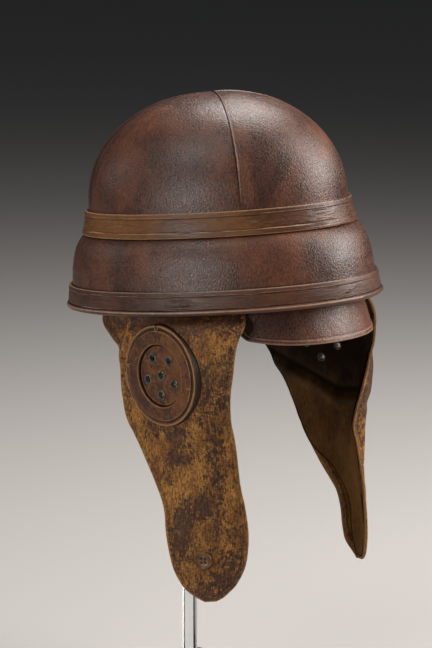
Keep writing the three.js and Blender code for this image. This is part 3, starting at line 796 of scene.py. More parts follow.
ACRYLIC = Plain(
    "clear acrylic", base=(0.93, 0.96, 0.97), second=(0.9, 0.9, 0.9), roughness=0.02,
    clear=1.0, scale=60.0,
)


# ------------------------------------------------------------------ crown, skirt and rim


@dataclass
class Shell:
    """The crown, the skirt and what is bound round them."""

    crown_a: float = 114.5
    crown_b: float = 95.1
    crown_foot: float = 79.6
    crown_top: float = 170.0
    power: float = 2.15
    fullness: float = 2.2
    leather: float = 1.6
    gap: float = 0.35
    foot: Row = (117.6, 97.6, 65.0)  # where the gores end under the band
    seams: tuple[float, ...] = (-48.0, 48.0, 132.0, 228.0, 312.0)
    seam_gap: float = 0.16
    steps: int = 200
    band_bottom: float = 60.2
    band_top: float = 79.6
    band_low: tuple[float, float] = (121.0, 100.8)
    band_high: tuple[float, float] = (116.8, 97.4)
    band_thick: float = 1.75
    binding_low: float = 5.25
    binding_high: float = 19.1
    binding_foot: Pair = (138.4, 114.4)  # the plan at its lower edge
    binding_taper: Pair = (2.4, 1.8)  # how much the plan shrinks to its upper edge
    binding_thick: float = 1.5
    roll_middle: Row = (138.0, 113.6, 2.45)
    roll_radius: float = 2.42
    roll_sides: int = 22
    hollow: Pair = (102.0, 82.0)
    hollow_foot: float = 72.0
    hollow_top: float = 155.0
    hollow_flare: float = 2.5  # how much wider its mouth is
    cork_wall: tuple[Row, ...] = (
        (117.0, 96.5, 2), (117.0, 96.5, 30), (116.9, 96.4, 57), (115.6, 95.6, 64.5), (114.0, 94.3, 72),
    )
    skirt_outer: tuple[Row, ...] = (
        (136.4, 112.5, 5.3), (135.6, 111.8, 10), (134.2, 110.9, 19), (133.3, 110.3, 28), (132.1, 109.6, 36),
        (129.4, 107.5, 46), (126.1, 104.8, 53), (122.2, 101.6, 57.6), (119.3, 99.1, 59.4),
    )
    skirt_neck: tuple[Row, ...] = ((118.6, 98.4, 60.6), (117.75, 97.75, 64.5))  # under the band
    skirt_inner: tuple[Row, ...] = (
        (116.0, 96.0, 64.5), (118.2, 97.9, 56), (121.8, 100.9, 47), (124.6, 103.2, 38), (126.8, 104.8, 28),
        (128.4, 106.3, 16), (129.6, 107.4, 5.3),
    )
    mark_table: tuple[Stain, ...] = (
        (37, 112, 15, 0.9), (27, 125, 14, 0.7), (74, 108, 24, 0.5), (92, 130, 20, 0.35), (66, 95, 18, 0.4),
        (43.5, 138, 8, -0.8), (44, 118, 8, -1.0), (45, 97, 10, -1.0), (36, 36, 16, -0.7), (88, 46, 14, -0.6),
        (64, 32, 22, 0.4), (18, 35, 18, 0.5), (112, 100, 24, 0.7), (116, 34, 20, 0.8), (98, 28, 12, 0.5),
    )
    band_stains: tuple[Stain, ...] = (
        (96, 70, 40, -0.8), (72, 70, 18, 0.5), (50, 70, 22, -0.3), (14, 70, 40, 1.0),
        (-25, 70, 40, 0.9), (170, 70, 60, 0.5),
    )

    def height(self, foot: float, top: float, share: float) -> float:
        """The height at which the crown has shrunk to a share of its plan."""
        return foot + (top - foot) * (1 - share**self.fullness) ** (1 / self.power)

    def share(self, z: float) -> float:
        """The share of the full plan left at a height of the crown."""
        t = max(0.0, (z - self.crown_foot) / (self.crown_top - self.crown_foot))
        return max(0.0, 1 - t**self.power) ** (1 / self.fullness)

    def marks(self, mark_table: Sequence[Stain]) -> list[Mark]:
        """The marks for a table of stains."""
        made = []
        for angle, z, spread, strength in mark_table:
            s = self.share(z)
            a, b = (self.crown_a * s, self.crown_b * s) if z > self.band_bottom else (133.0, 110.0)
            p = oval(a, b, math.radians(angle), z)
            made.append(Mark((p.x, p.y, p.z), (spread, spread, spread * 1.5), strength))
        return made

    def build(self) -> None:
        """Models and dresses every piece of the shell."""
        for name, start, end in zip(("front", "right", "back", "left"), self.seams, self.seams[1:]):
            self.gore(name, start, end, name in ("front", "back"))
        self.skirt()
        self.hat_band()
        self.binding()
        self.roll()
        self.cork()

    def gore(self, name: str, start: float, end: float, on_top: bool) -> None:
        """One crown gore.

        Args:
            name: which gore it is.
            start: the angle of its first seam.
            end: the angle of its second seam.
            on_top: whether its folded edges lie over its neighbours'.
        """
        depth = 0.5 if name == "back" else 1.0  # the rear seams were rubbed flatter
        under = 0.12  # the share of the gore's length that is under the band

        def away(edge: float, towards: float) -> Vector:
            d = oval(1, self.crown_b / self.crown_a, math.radians(edge), 0)
            n = Vector((-d.y, d.x, 0)).normalized()
            return -n if n.dot(oval(1, self.crown_b / self.crown_a, math.radians(towards), 0)) < 0 else n

        first, second = away(start, (start + end) / 2), away(end, (start + end) / 2)

        def place(u: float, v: float) -> Vector:
            u -= 0.1 * math.sin(2 * math.pi * u)
            if v < under:
                f = v / under
                crown = (self.crown_a, self.crown_b, self.crown_foot)
                a, b, z = (p + (q - p) * f for p, q in zip(self.foot, crown))
            else:
                turn = (v - under) / (1 - under) * (math.pi / 2)
                s = max(0.002, max(0.0, math.cos(turn)) ** (2 / self.fullness))
                a, b, z = self.crown_a * s, self.crown_b * s, self.height(self.crown_foot, self.crown_top, s)
            p = oval(a, b, math.radians(start + (end - start) * u), z)
            return p + (first * (1 - u) + second * u) * self.seam_gap

        obj = Bench.woven(f"crown_leather_{name}", 96, 88, place)
        mesh = obj.data
        reach = Bench.edge_distance(obj, lambda p: p.z > 66)
        marks = self.marks(self.mark_table)
        crease, patch = [], []
        for v, n, d in zip(mesh.vertices, [v.normal.copy() for v in mesh.vertices], reach):
            z = v.co.z
            above = smoothstep(79, 86, z) * (0.7 + 0.3 * smoothstep(90, 120, z)) * depth
            # shading value of the seam: painted shade in the seam and beside its folded edge, the edge itself
            # lighter as rubbed wear and painted highlight
            if on_top:
                ridge = above * (0.55 * bump(d, 0.7, 0.7) - 0.15 * bump(d, 2.4, 0.9))
                fold = 0.6 * bump(d, 0.8, 0.45) - 0.3 * bump(d, 2.2, 0.4) - 0.9 * bump(d, 0, 0.3)
                crease.append(above * fold)
            else:
                ridge = above * (-0.3 * bump(d, 0, 1.0))
                crease.append(above * (-1.0 * bump(d, 0, 0.6)))
            lumps = 0.5 * ripple(v.co, 44, 3.1, 2) + 0.07 * ripple(v.co, 9, 7.7, 3)
            patch.append(sum(m.at(v.co) for m in marks) + 0.25 * smoothstep(9, 3, d) * above)
            v.co += n * (ridge + lumps * smoothstep(72, 86, z))
        Bench.note(obj, edge=[FAR] * len(crease), crease=crease, patch=patch)
        Bench.apply(obj, "SOLIDIFY", thickness=self.leather, offset=-1.0, use_even_offset=True)
        keep(Bench.settle(obj), Slot.SHELL, SHELL, f"crown_gore_{name}")

    def ringed(self, name: str, rows: Sequence[Row], relief: Relief, outer_rows: int) -> bpy.types.Object:
        """Spins a closed profile into an egg-shaped ring and gives its outer side a relief.

        Args:
            name: the piece's name.
            rows: the closed profile.
            relief: from place, angle and height to a rise, an edge distance and a shading value: below 0
                painted shade, above 0 rubbed wear and painted highlight.
            outer_rows: how many rows from the start are the outer side.
        Returns:
            The piece, still in millimetres.
        """
        obj = Bench.spun(name, [(a, z) for a, _b, z in rows], self.steps)
        outer = {(round(a, 3), round(z, 3)) for a, _b, z in rows[:outer_rows]}
        mesh = obj.data
        is_outer = [(round(math.hypot(v.co.x, v.co.y), 3), round(v.co.z, 3)) in outer for v in mesh.vertices]
        Bench.egg(obj, rows)
        Bench.round_map(obj)
        marks = self.marks(self.band_stains if "band" in name else self.mark_table)
        edges, shadings_and_rubs, patch = [], [], []
        for v, n, out in zip(mesh.vertices, [v.normal.copy() for v in mesh.vertices], is_outer):
            patch.append(sum(m.at(v.co) for m in marks))
            rise, edge, crease = (0.0, FAR, 0.0)
            if out:
                rise, edge, crease = relief(v.co.copy(), math.atan2(-v.co.x, -v.co.y), v.co.z)
            v.co += n * rise
            edges.append(edge)
            shadings_and_rubs.append(crease)
        Bench.note(obj, edge=edges, crease=shadings_and_rubs, patch=patch)
        mesh.update()
        return obj

    def skirt(self) -> None:
        """The flared, convex lower shell."""
        count = 36
        outer = [tuple(spline(self.skirt_outer, k / count)) for k in range(count + 1)]
        outer += self.skirt_neck

        def relief(p: Vector, _angle: float, z: float) -> tuple[float, float, float]:
            free = smoothstep(5.4, 20, z) * (1 - smoothstep(55, 59.5, z))
            lumps = 0.6 * ripple(p, 40, 11.3, 2) + 0.12 * ripple(p, 11, 5.2, 3)
            # painted shade just under the band and along the binding's upper edge
            return free * lumps, FAR, -0.5 * bump(z, 59.9, 0.9) - 0.9 * bump(z, 19.2, 0.8)

        obj = self.ringed("skirt_leather", [*outer, *self.skirt_inner], relief, len(outer))
        keep(Bench.settle(obj), Slot.SHELL, SHELL, "skirt")

    def hat_band(self) -> None:
        """The leather strip round the crown, folded under along both edges."""
        (a0, b0), (a1, b1), bottom, top = self.band_low, self.band_high, self.band_bottom, self.band_top
        rows: list[Row] = []
        count = 48
        for k in range(count + 1):
            s = k / count
            z = bottom + (top - bottom) * s
            low, high = z - bottom, top - z
            fold = sum(0.5 * smoothstep(0, 0.9, d) * smoothstep(4.6, 3.8, d) for d in (low, high))
            rows.append((a0 + (a1 - a0) * s + fold, b0 + (b1 - b0) * s + fold, z))
        outer = len(rows)
        thick = self.band_thick
        rows += [(a1 - thick, b1 - thick, top), (a0 - thick, b0 - thick, bottom)]

        def relief(p: Vector, angle: float, z: float) -> tuple[float, float, float]:
            ring = Vector((math.cos(angle) * 118, math.sin(angle) * 118, 0))
            sway = 0.5 * ripple(ring, 20, 3.6, 3)  # the folds wander a little
            low, high = z - bottom, top - z
            along = ring + Vector((0, 0, z * 3.6))
            fold = 1 - abs(ripple(along, 24, 2.2, 3))
            wrinkle = smoothstep(0.84, 1.0, fold) * smoothstep(3.5, 6.5, min(low, high))
            second = 1 - abs(ripple(along, 11, 6.2, 2))
            wrinkle += 0.5 * smoothstep(0.86, 1.0, second) * smoothstep(4.5, 7.5, min(low, high))
            line = bump(low, 4.7 + sway, 0.45) + bump(high, 4.4 - sway, 0.4)
            crest = 0.9 * bump(low, 4.0 + sway, 0.5) + 0.55 * bump(high, 3.5 - sway, 0.45)
            wave = 0.3 * ripple(p, 26, 9.1, 2) * smoothstep(0, 2, min(low, high))
            rise = wave + 0.32 * wrinkle - 0.3 * line + 0.2 * crest
            # painted shade along the fold lines; crests and wrinkles lighter as rubbed wear and painted
            # highlight
            return rise, min(low, high), 0.3 * wrinkle + crest - 0.7 * line

        obj = self.ringed("hat_band_leather", rows, relief, outer)
        keep(Bench.settle(obj), Slot.BAND, BAND_LEATHER, "hat_band")

    def binding(self) -> None:
        """The strip bound round the rim, creased where it was pulled tight."""
        bottom, top = self.binding_low, self.binding_high
        (a, b), (less_a, less_b), thick = self.binding_foot, self.binding_taper, self.binding_thick
        rows: list[Row] = []
        count = 40
        for k in range(count + 1):
            s = k / count
            z = bottom + (top - bottom) * s
            high = top - z
            fold = 0.5 * smoothstep(0, 0.8, high) * smoothstep(4.4, 3.4, high) + 0.45 * math.sin(math.pi * s)
            rows.append((a - less_a * s + fold, b - less_b * s + fold, z))
        outer = len(rows)
        rows += [(a - less_a - thick, b - less_b - thick, top), (a - thick, b - thick, bottom)]

        def relief(p: Vector, angle: float, z: float) -> tuple[float, float, float]:
            ring = Vector((math.cos(angle) * 126, math.sin(angle) * 126, 0))
            sway = 0.5 * ripple(ring, 18, 5.1, 3)
            high, low = top - z, z - bottom
            slant = ring + Vector((z * 0.9, -z * 0.6, z * 2.0))
            wrinkle = 0.25 * smoothstep(0.82, 1.0, 1 - abs(ripple(slant, 21, 6.4, 3)))
            drawn = Vector((z * 1.1 + angle * 62, angle * 30, 0))  # folds drawn aslant across the front
            aslant = smoothstep(0.8, 1.0, 1 - abs(ripple(drawn, 13, 6.4, 2)))
            wrinkle += bump(math.degrees(angle), 6, 26) * aslant
            wrinkle *= smoothstep(4.0, 6.5, high)
            line = bump(high, 4.3 + sway, 0.4)
            crest = 0.8 * bump(high, 3.5 + sway, 0.45)
            rise = 0.35 * ripple(p, 22, 4.4, 2) * smoothstep(0, 2, high) + 0.55 * wrinkle - 0.3 * line
            # painted shade along the fold line; crests and wrinkles lighter as rubbed wear and painted
            # highlight
            return rise, min(high, low + 0.6), 0.3 * wrinkle + crest - 0.85 * line

        obj = self.ringed("rim_binding_leather", rows, relief, outer)
        keep(Bench.settle(obj), Slot.SHELL, BINDING_LEATHER, "rim_binding")

    def roll(self) -> None:
        """The small rolled edge with its butt joint at the front."""
        sides, radius = self.roll_sides, self.roll_radius
        a, b, middle = self.roll_middle
        turns = [2 * math.pi * k / sides for k in range(sides)]
        rows: list[Row] = [
            (a + radius * math.cos(t), b + radius * math.cos(t), middle + radius * math.sin(t))
            for t in turns
        ]

        def relief(p: Vector, angle: float, z: float) -> tuple[float, float, float]:
            joint = bump(angle * 140, 12.0, 0.6)
            # painted highlight along the top of the roll, painted shade under the binding's edge, and the
            # butt joint darker
            crease = 0.7 * bump(z, 3.1, 0.8) - 0.9 * joint - 0.9 * bump(z, 4.9, 0.5)
            return 0.16 * ripple(p, 14, 8.8, 3) - 0.8 * joint, FAR, crease

        obj = self.ringed("rim_roll_leather", rows, relief, sides)
        keep(Bench.settle(obj), Slot.SHELL, BINDING_LEATHER, "rim_roll")

    def cork(self) -> None:
        """The hollow moulded cork body that carries the leather."""
        inset = self.leather + self.gap
        count = 26
        shares = [math.cos(k / count * math.pi / 2) ** (2 / self.fullness) for k in range(count)]
        a, b, top = self.crown_a - inset, self.crown_b - inset, self.crown_top - inset
        outer = [*self.cork_wall, *((a * s, b * s, self.height(self.crown_foot, top, s)) for s in shares)]
        (a, b), foot, roof, wide = self.hollow, self.hollow_foot, self.hollow_top, self.hollow_flare
        inner = [(a * s, b * s, self.height(foot, roof, s)) for s in shares]
        profile: list[Row] = outer + [(0.001, 0.001, top), (0.001, 0.001, roof)] + inner[::-1]
        profile += [(a, b, 40.0), (a, b, 5.0), (a + wide, b + wide, 2.0)]
        obj = Bench.spun("cork_body", [(p, z) for p, _q, z in profile], 144)
        Bench.egg(obj, profile)
        keep(Bench.settle(obj), Slot.CORK, CORK, "cork_dome")


# ------------------------------------------------------------------ peak


@dataclass
class Peak:
    """The short steep peak under the front of the rim."""

    half: float = 54.5  # degrees each way from the front
    thick: float = 2.6
    drop: float = 30.5
    end_drop: float = 20.5
    bend: float = 3.6
    corner: float = 5.0
    corner_keep: float = 0.3
    flare_drop: float = 32.0
    tuck_top: float = 13.0
    rim: tuple[float, float] = (121.0, 100.2)
    edge: tuple[float, float] = (130.0, 107.0)
    tuck: tuple[float, float] = (119.95, 99.45)
    tucked: float = 0.2  # the share of the rows that lie behind the rim

    def depth(self, angle: float) -> float:
        """How far the peak hangs below the rim at an angle from the front, in degrees."""
        drop = self.drop - (self.drop - self.end_drop) * (abs(angle) / self.half) ** self.bend
        c = (abs(angle) - (self.half - self.corner)) / self.corner
        if c > 0:
            drop *= self.corner_keep + (1 - self.corner_keep) * math.sqrt(max(0.0, 1 - c * c))
        return drop

    def build(self) -> None:
        """Models and dresses the peak."""
        tucked = self.tucked

        def place(u: float, v: float) -> Vector:
            angle = self.half * (0.4 * math.sin(math.pi * (u - 0.5)) + 0.6 * (2 * u - 1))
            if v < tucked:
                z, f = self.tuck_top * (1 - v / tucked), smoothstep(0, tucked, v)
                a, b = (p + (q - p) * f for p, q in zip(self.tuck, self.rim))
            else:
                z = -self.depth(angle) * (v - tucked) / (1 - tucked)
                a, b = (p + (q - p) * -z / self.flare_drop for p, q in zip(self.rim, self.edge))
            return oval(a, b, math.radians(angle), z)

        obj = Bench.woven("peak_leather", 130, 48, place)
        reach = Bench.edge_distance(obj, lambda p: p.z < -1.5)
        mesh = obj.data
        crease, patch = [], []
        for v, n, d in zip(mesh.vertices, [v.normal.copy() for v in mesh.vertices], reach):
            hang = smoothstep(1, -4, v.co.z)
            hem = 0.35 * bump(d, 2.0, 1.5) - 0.35 * bump(d, 4.4, 0.55)
            line = 0.8 * bump(d, 3.5, 0.6) + 0.7 * bump(d, 0.6, 0.7) - 0.7 * bump(d, 4.5, 0.4)
            # painted shade along the top where the peak goes under the rim; the hem lines lighter as rubbed
            # wear and painted highlight
            crease.append(hang * line - 0.8 * bump(v.co.z, 0, 1.6))
            # darker at the wearer's right end as painted shadow of the near flap, lighter near the middle
            # where rubbed
            patch.append(1.1 * bump(v.co.x, -80, 34) - 0.5 * bump(v.co.x, 20, 50))
            v.co += n * hang * (hem + 0.35 * ripple(v.co, 24, 2.9, 2))
        Bench.note(obj, edge=[d * 0.6 for d in reach], crease=crease, patch=patch)
        Bench.apply(obj, "SOLIDIFY", thickness=self.thick, offset=-1.0)
        Bench.apply(obj, "BEVEL", width=0.7, segments=3, limit_method="ANGLE", angle_limit=math.radians(50))
        keep(Bench.settle(obj), Slot.SHELL, SHELL, "peak")


# ------------------------------------------------------------------ ear flaps


@dataclass(frozen=True)
class FlapRow:
    """One level of a flap: rear edge, the bend in front of the ear, front edge, and the swell between."""

    z: float
    back: tuple[float, float]
    knee: tuple[float, float]
    edge: tuple[float, float]
    bow: float


RIGHT_ROWS = (
    FlapRow(-9, (95.5, 54.0), (105.0, -47.0), (82.0, -85.5), 0.5),
    FlapRow(-20, (97.5, 45.0), (107.0, -50.0), (88.5, -83.5), 0),
    FlapRow(-32, (98.6, 36.4), (107.6, -50.0), (92.5, -82.0), 0),
    FlapRow(-47, (99.3, 35.2), (107.6, -50.0), (95.0, -80.5), 0),
    FlapRow(-65, (99.8, 34.9), (107.4, -48.0), (94.0, -75.2), 0),
    FlapRow(-85, (100.5, 31.6), (106.0, -45.0), (90.0, -70.8), 0),
    FlapRow(-98, (102.0, 23.3), (103.5, -42.0), (87.0, -70.3), 0.5),
    FlapRow(-112, (103.5, 14.6), (100.0, -44.0), (84.0, -69.0), 1),
    FlapRow(-139, (105.0, 0.6), (93.5, -48.0), (79.5, -66.4), 2),
    FlapRow(-158, (105.0, -5.5), (89.0, -50.0), (76.5, -67.2), 2),
    FlapRow(-182, (105.0, -6.2), (86.5, -49.5), (74.0, -66.3), 2),
    FlapRow(-205, (103.5, -8.7), (86.2, -46.5), (75.0, -62.2), 2),
    FlapRow(-220, (101.8, -15.2), (88.0, -43.5), (79.5, -55.6), 1.5),
    FlapRow(-227, (100.3, -22.5), (90.0, -41.5), (83.5, -50.0), 1),
    FlapRow(-231.5, (98.3, -30.0), (91.5, -40.0), (87.2, -45.6), 0.5),
    FlapRow(-234, (96.0, -34.0), (92.8, -38.2), (90.8, -41.2), 0),
)
LEFT_ROWS = (
    FlapRow(-9, (95.0, 54.0), (102.5, -50.0), (81.0, -84.5), 0.5),
    FlapRow(-20, (95.0, 49.0), (105.5, -53.0), (89.0, -84.0), 0),
    FlapRow(-32, (93.5, 46.0), (106.5, -55.0), (92.0, -82.3), 0),
    FlapRow(-50, (93.0, 42.5), (106.6, -58.0), (96.0, -76.6), 0),
    FlapRow(-68, (95.5, 34.0), (104.8, -63.5), (92.5, -72.6), 0),
    FlapRow(-87, (98.5, 25.0), (101.8, -65.0), (84.0, -71.0), 1),
    FlapRow(-105, (98.5, 17.0), (98.0, -63.5), (79.4, -66.5), 2),
    FlapRow(-121, (95.5, 9.5), (95.8, -61.0), (78.5, -61.8), 4),
    FlapRow(-137, (92.5, 0.0), (94.0, -60.4), (83.5, -60.5), 6),
    FlapRow(-163, (94.0, -15.8), (88.0, -61.8), (84.0, -63.6), 8),
    FlapRow(-180, (98.0, -24.4), (85.0, -64.4), (81.0, -66.2), 8),
    FlapRow(-196, (99.0, -28.1), (83.5, -65.4), (80.0, -66.5), 8),
    FlapRow(-212, (99.0, -28.3), (84.0, -65.1), (80.5, -65.7), 7),
    FlapRow(-227, (97.2, -32.4), (85.5, -61.8), (82.5, -62.0), 4),
    FlapRow(-236, (95.0, -40.5), (88.0, -57.0), (85.8, -57.2), 1.5),
    FlapRow(-240, (92.8, -45.5), (90.8, -50.5), (90.0, -51.5), 0),
)
# the wide strip along the top, just under the rim, is painted shadow of the rim, and the dark rear top corner
# is painted shade; the rest are stains and bare places
RIGHT_STAINS_AND_SHADOW = (  # y, z, spread in y, spread in z, strength
    (-20, -98, 8, 5, 1.7), (-21, -116, 14, 5, 2.1), (-11, -133, 6, 8, 1.3), (-38, -153, 6, 12, 1.9),
    (-23, -166, 9, 8, 1.4), (-17, -183, 6, 11, 1.4), (-56, -112, 8, 22, 0.7), (-51, -138, 6, 14, 0.5),
    (-63, -50, 9, 24, 0.8), (-50, -72, 8, 18, 0.8), (-53, -211, 13, 16, 1.0), (-25, -226, 16, 7, 0.8),
    (-35, -5, 60, 9, 1.5), (-2, -90, 8, 7, 0.5), (-49, -166, 9, 12, 0.5), (-60, -175, 5, 10, 0.6),
    (50, -16, 9, 20, 1.6), (-68, -40, 7, 20, -0.9), (-60, -30, 8, 9, -0.7), (26, -14, 5, 10, -0.9),
    (33, -32, 4, 12, -0.9),
    (-8, -104, 9, 10, -0.9), (-34, -134, 9, 18, -1.0), (-30, -188, 10, 14, -0.8), (-60, -146, 6, 18, -0.6),
    (-36, -208, 12, 8, -0.6), (-4, -120, 7, 12, -0.8), (-12, -150, 7, 14, -0.8),
)
# on the far flap's lining these marks are mostly painted light and shade: the upper part darker as painted
# shade, the middle and the lower lobe lighter as painted light; the strip along the front edge and a small
# patch further back are darker
LEFT_SHADING_AND_STAINS = (  # the same columns
    (-5, -40, 60, 36, 1.0), (8, -100, 18, 24, -0.3), (-8, -140, 16, 30, -0.9), (-44, -195, 22, 44, -2.4),
    (-66, -70, 9, 60, 1.4), (20, -80, 16, 8, 0.6),
)


@dataclass(frozen=True)
class Disc:
    """Where an ear disc stands and how its eyelets are turned."""

    x: float
    y: float
    z: float
    turn: float
    pentagon_turn: float


RIGHT_DISC = Disc(x=104.3, y=-15.9, z=-48.0, turn=6.0, pentagon_turn=-4.0)
LEFT_DISC = Disc(x=102.0, y=-18.9, z=-50.2, turn=7.0, pentagon_turn=4.0)
RING_JOINTS = (90, 168, -14)  # degrees round the ring
RING_TIES = (  # degrees round the ring, inner end, outer end, skew
    (91, 34.6, 40.4, 16), (87, 35.4, 40.4, -18), (168, 32.5, 39.8, 8), (171, 34.0, 38.8, -10),
    (-14, 31.5, 36.4, 10),
)


@dataclass
class EarFlap:
    """One hanging flap with its lining, ear disc, eyelets and stitches."""

    side: Side
    rows: tuple[FlapRow, ...]
    disc: Disc
    mark_table: tuple[tuple[float, ...], ...]
    has_button: bool = False
    has_fold: bool = False
    thick: float = 2.4
    lining: float = 1.2
    gap: float = 0.35
    hem_rise: float = 2.0
    lobe: Pair = (-140.0, -164.0)  # the heights between which the lobe's hem grows
    hang: float = 262.0  # from the tucked top to the tip
    lining_inset: float = 1.2
    lining_lobe_inset: float = 5.4  # added round the lobe
    lining_front_inset: float = 2.0
    lining_tip: float = 4.0
    tuck: tuple[float, float] = (121.9, 101.4)
    tuck_heights: tuple[float, float] = (20.0, 2.0)
    tuck_angles: tuple[float, ...] = (116.0, 91.0, 66.0, 50.0)
    ring_outer: float = 41.0
    ring_inner: float = 25.0
    ring_height: float = 5.0
    plate_radius: float = 24.5
    plate_face: float = 2.6
    eyelet_circle: float = 16.0
    eyelet_hole: float = 3.45
    foot: float = -6.0  # where a disc piece's foot is before it is seated on the flap
    sink: float = 0.3
    button_place: tuple[float, ...] = (94.2, -34.6, -199.5, -24.4)  # x, y, z and turn
    stitch_inset: float = 3.6
    stitch_step: float = 3.3
    sheet: BVHTree | None = field(default=None, repr=False)  # the outer face, which other pieces rest on

    @property
    def word(self) -> str:
        """The side's name."""
        return self.side.name.lower()

    def control(self) -> list[list[float]]:
        """The flap's guiding points, twelve numbers for each level."""
        made = []
        s = self.side.value
        for z in self.tuck_heights:
            row: list[float] = []
            for angle in self.tuck_angles:
                p = oval(self.tuck[0], self.tuck[1], math.radians(angle), z)
                row += [-s * p.x, p.y, z]
            made.append(row)
        for r in self.rows:
            back, knee, edge = (Vector((s * x, y, r.z)) for x, y in (r.back, r.knee, r.edge))
            out = Vector((s * abs(back.y - knee.y), s * (knee.x - back.x), 0)).normalized()
            made.append([*back, *((back + knee) / 2 + out * r.bow), *knee, *edge])
        return made

    def surface(self) -> Callable[[float, float], Vector]:
        """The flap's outer face as a function of across (rear to front) and down (top to tip)."""
        control = self.control()
        length = [0.0]
        for p, q in zip(control, control[1:]):
            length.append(length[-1] + abs(p[2] - q[2]) + 2.0)

        def level(v: float) -> float:
            want = v * length[-1]
            for k, (low, high) in enumerate(zip(length, length[1:])):
                if want <= high + 1e-9:
                    return (k + (want - low) / (high - low)) / (len(length) - 1)
            return 1.0

        def place(u: float, v: float) -> Vector:
            row = spline(control, level(v))
            return Vector(spline([row[k : k + 3] for k in range(0, 12, 3)], u))

        return place

    def relief(self, p: Vector, d: float, across: float) -> tuple[float, float]:
        """How far the leather rises outwards at a place, and its shading value: painted shade below 0, rubbed
        wear and painted highlight above 0.

        Args:
            p: the place on the smooth surface.
            d: its distance from the edge.
            across: 0 at the rear edge and 1 at the front edge.
        Returns:
            The rise in millimetres and the shading value of the outer face.
        """
        rise = 0.3 * bump(d, 1.6, 1.3) - 0.4 * bump(d, 3.8, 0.6)
        waves = 0.8 * ripple(p, 34, 4.2 + self.side.value, 2) + 0.18 * ripple(p, 8, 1.4, 3)
        rise += waves * smoothstep(4, -14, p.z)
        # edge lighter as rubbed wear and painted highlight, painted shade in the groove along the stitches
        crease = 0.3 * bump(d, 1.3, 0.9) - 0.55 * bump(d, 3.8, 0.45)
        if self.has_fold:
            shown = smoothstep(0.8, 0.55, across) * (0.4 + 0.6 * smoothstep(0.0, 0.08, across))
            away = p.z - self.fold_height(p.y)
            crest = 1.6 * bump(away, 1.0, 4.0) * smoothstep(0.6, 0.35, across)
            rise += shown * (crest - 3.0 * bump(away, -8.5, 4.5))
        else:
            ridge = p.y - (20 - 0.5 * (p.z + 6))
            shown = smoothstep(-2, -8, p.z) * smoothstep(-52, -36, p.z)
            rise += shown * (1.5 * bump(ridge, 0, 3.0) - 1.6 * bump(ridge, 8.0, 5.0))
            # the ridge behind the ear lighter as rubbed wear and painted highlight, painted shade in the
            # hollow behind it
            crease += shown * (0.6 * bump(ridge, 0, 1.8) - 0.5 * bump(ridge, 4.5, 2.2))
        return rise, crease

    @staticmethod
    def fold_height(y: float) -> float:
        """The height of the slanting fold behind the ear of the folded flap."""
        return -65 - 0.49 * (28 - max(-33.0, y))

    def layer(self, name: str, columns: int, rows: int, inset: Inset, tip: float) -> Sheet:
        """A layer of the flap, spread on its outer face.

        Args:
            name: the piece's name.
            columns: faces across.
            rows: faces down.
            inset: from height to how far the layer stops short of the rear and front edges.
            tip: how far it stops short of the tip.
        Returns:
            The open sheet, its normals, its distances from the edge, and how far across each vertex is.
        """
        surface = self.surface()

        def place(u: float, v: float) -> Vector:
            u -= 0.075 * math.sin(2 * math.pi * u)
            v = min(1.0, v * (1 - tip / self.hang))
            middle = surface(0.5, v)
            width = (surface(0, v) - middle).length + (surface(1, v) - middle).length
            rear, front = (min(0.25, i / max(1.0, width)) for i in inset(middle.z))
            return surface(rear + (1 - rear - front) * u, v)

        obj = Bench.woven(name, columns, rows, place)
        reach = Bench.edge_distance(obj, lambda p: p.z < 10)
        across = [(k % (columns + 1)) / columns for k in range(len(reach))]
        return obj, [v.normal.copy() for v in obj.data.vertices], reach, across

    def marks(self) -> list[Mark]:
        """The stains and bare places of the flap, with painted shade and painted light among them."""
        s = self.side.value
        return [
            Mark((s * 96, y, z), (60, wide, high), strength) for y, z, wide, high, strength in self.mark_table
        ]

    def outer_leather(self) -> bpy.types.Object:
        """The flap's tanned leather, thinner at its edges, with a hem turned in round the lobe."""
        name = f"ear_flap_leather_{self.word}"
        obj, normals, reach, across = self.layer(name, 84, 190, lambda z: (0.0, 0.0), 0.0)
        mesh = obj.data
        marks = self.marks()
        shadings_and_rubs, patch, thin = [], [], []
        for v, n, d, u in zip(mesh.vertices, normals, reach, across):
            rise, crease = self.relief(v.co, d, u)
            shadings_and_rubs.append(crease)
            patch.append(sum(m.at(v.co) for m in marks))
            lobe = smoothstep(*self.lobe, v.co.z) * smoothstep(-233, -222, v.co.z) * smoothstep(0.62, 0.5, u)
            hem = self.hem_rise * lobe * smoothstep(6.9, 5.8, d)
            thin.append(self.thick * (0.3 * smoothstep(3.0, 0.3, d)) - hem)
            v.co += n * rise
        mesh.update()
        faces = [tuple(f.vertices) for f in mesh.polygons]
        self.sheet = BVHTree.FromPolygons([v.co.copy() for v in mesh.vertices], faces)
        Bench.note(obj, edge=reach, crease=shadings_and_rubs, patch=patch)
        count = len(mesh.vertices)
        Bench.apply(obj, "SOLIDIFY", thickness=self.thick, offset=-1.0)
        for k, (n, t) in enumerate(zip(normals, thin)):
            obj.data.vertices[count + k].co += n * t
        obj.data.update()
        return obj

    def inner_leather(self) -> bpy.types.Object:
        """The lining, which stops short of the edge."""

        def inset(z: float) -> tuple[float, float]:
            rear = self.lining_inset + self.lining_lobe_inset * smoothstep(*self.lobe, z)
            return rear, self.lining_front_inset

        name = f"flap_lining_leather_{self.word}"
        obj, normals, reach, across = self.layer(name, 72, 160, inset, self.lining_tip)
        marks = self.marks()
        shadings_and_rubs, patch = [], []
        for v, n, d, u in zip(obj.data.vertices, normals, reach, across):
            rise, _ = self.relief(v.co, FAR, u)
            # painted shade along the lining's edge, beside the hem
            crease = -1.0 * bump(d, 0, 1.4)
            if self.has_fold:
                shown = smoothstep(0.88, 0.6, u)
                away = v.co.z - self.fold_height(v.co.y)
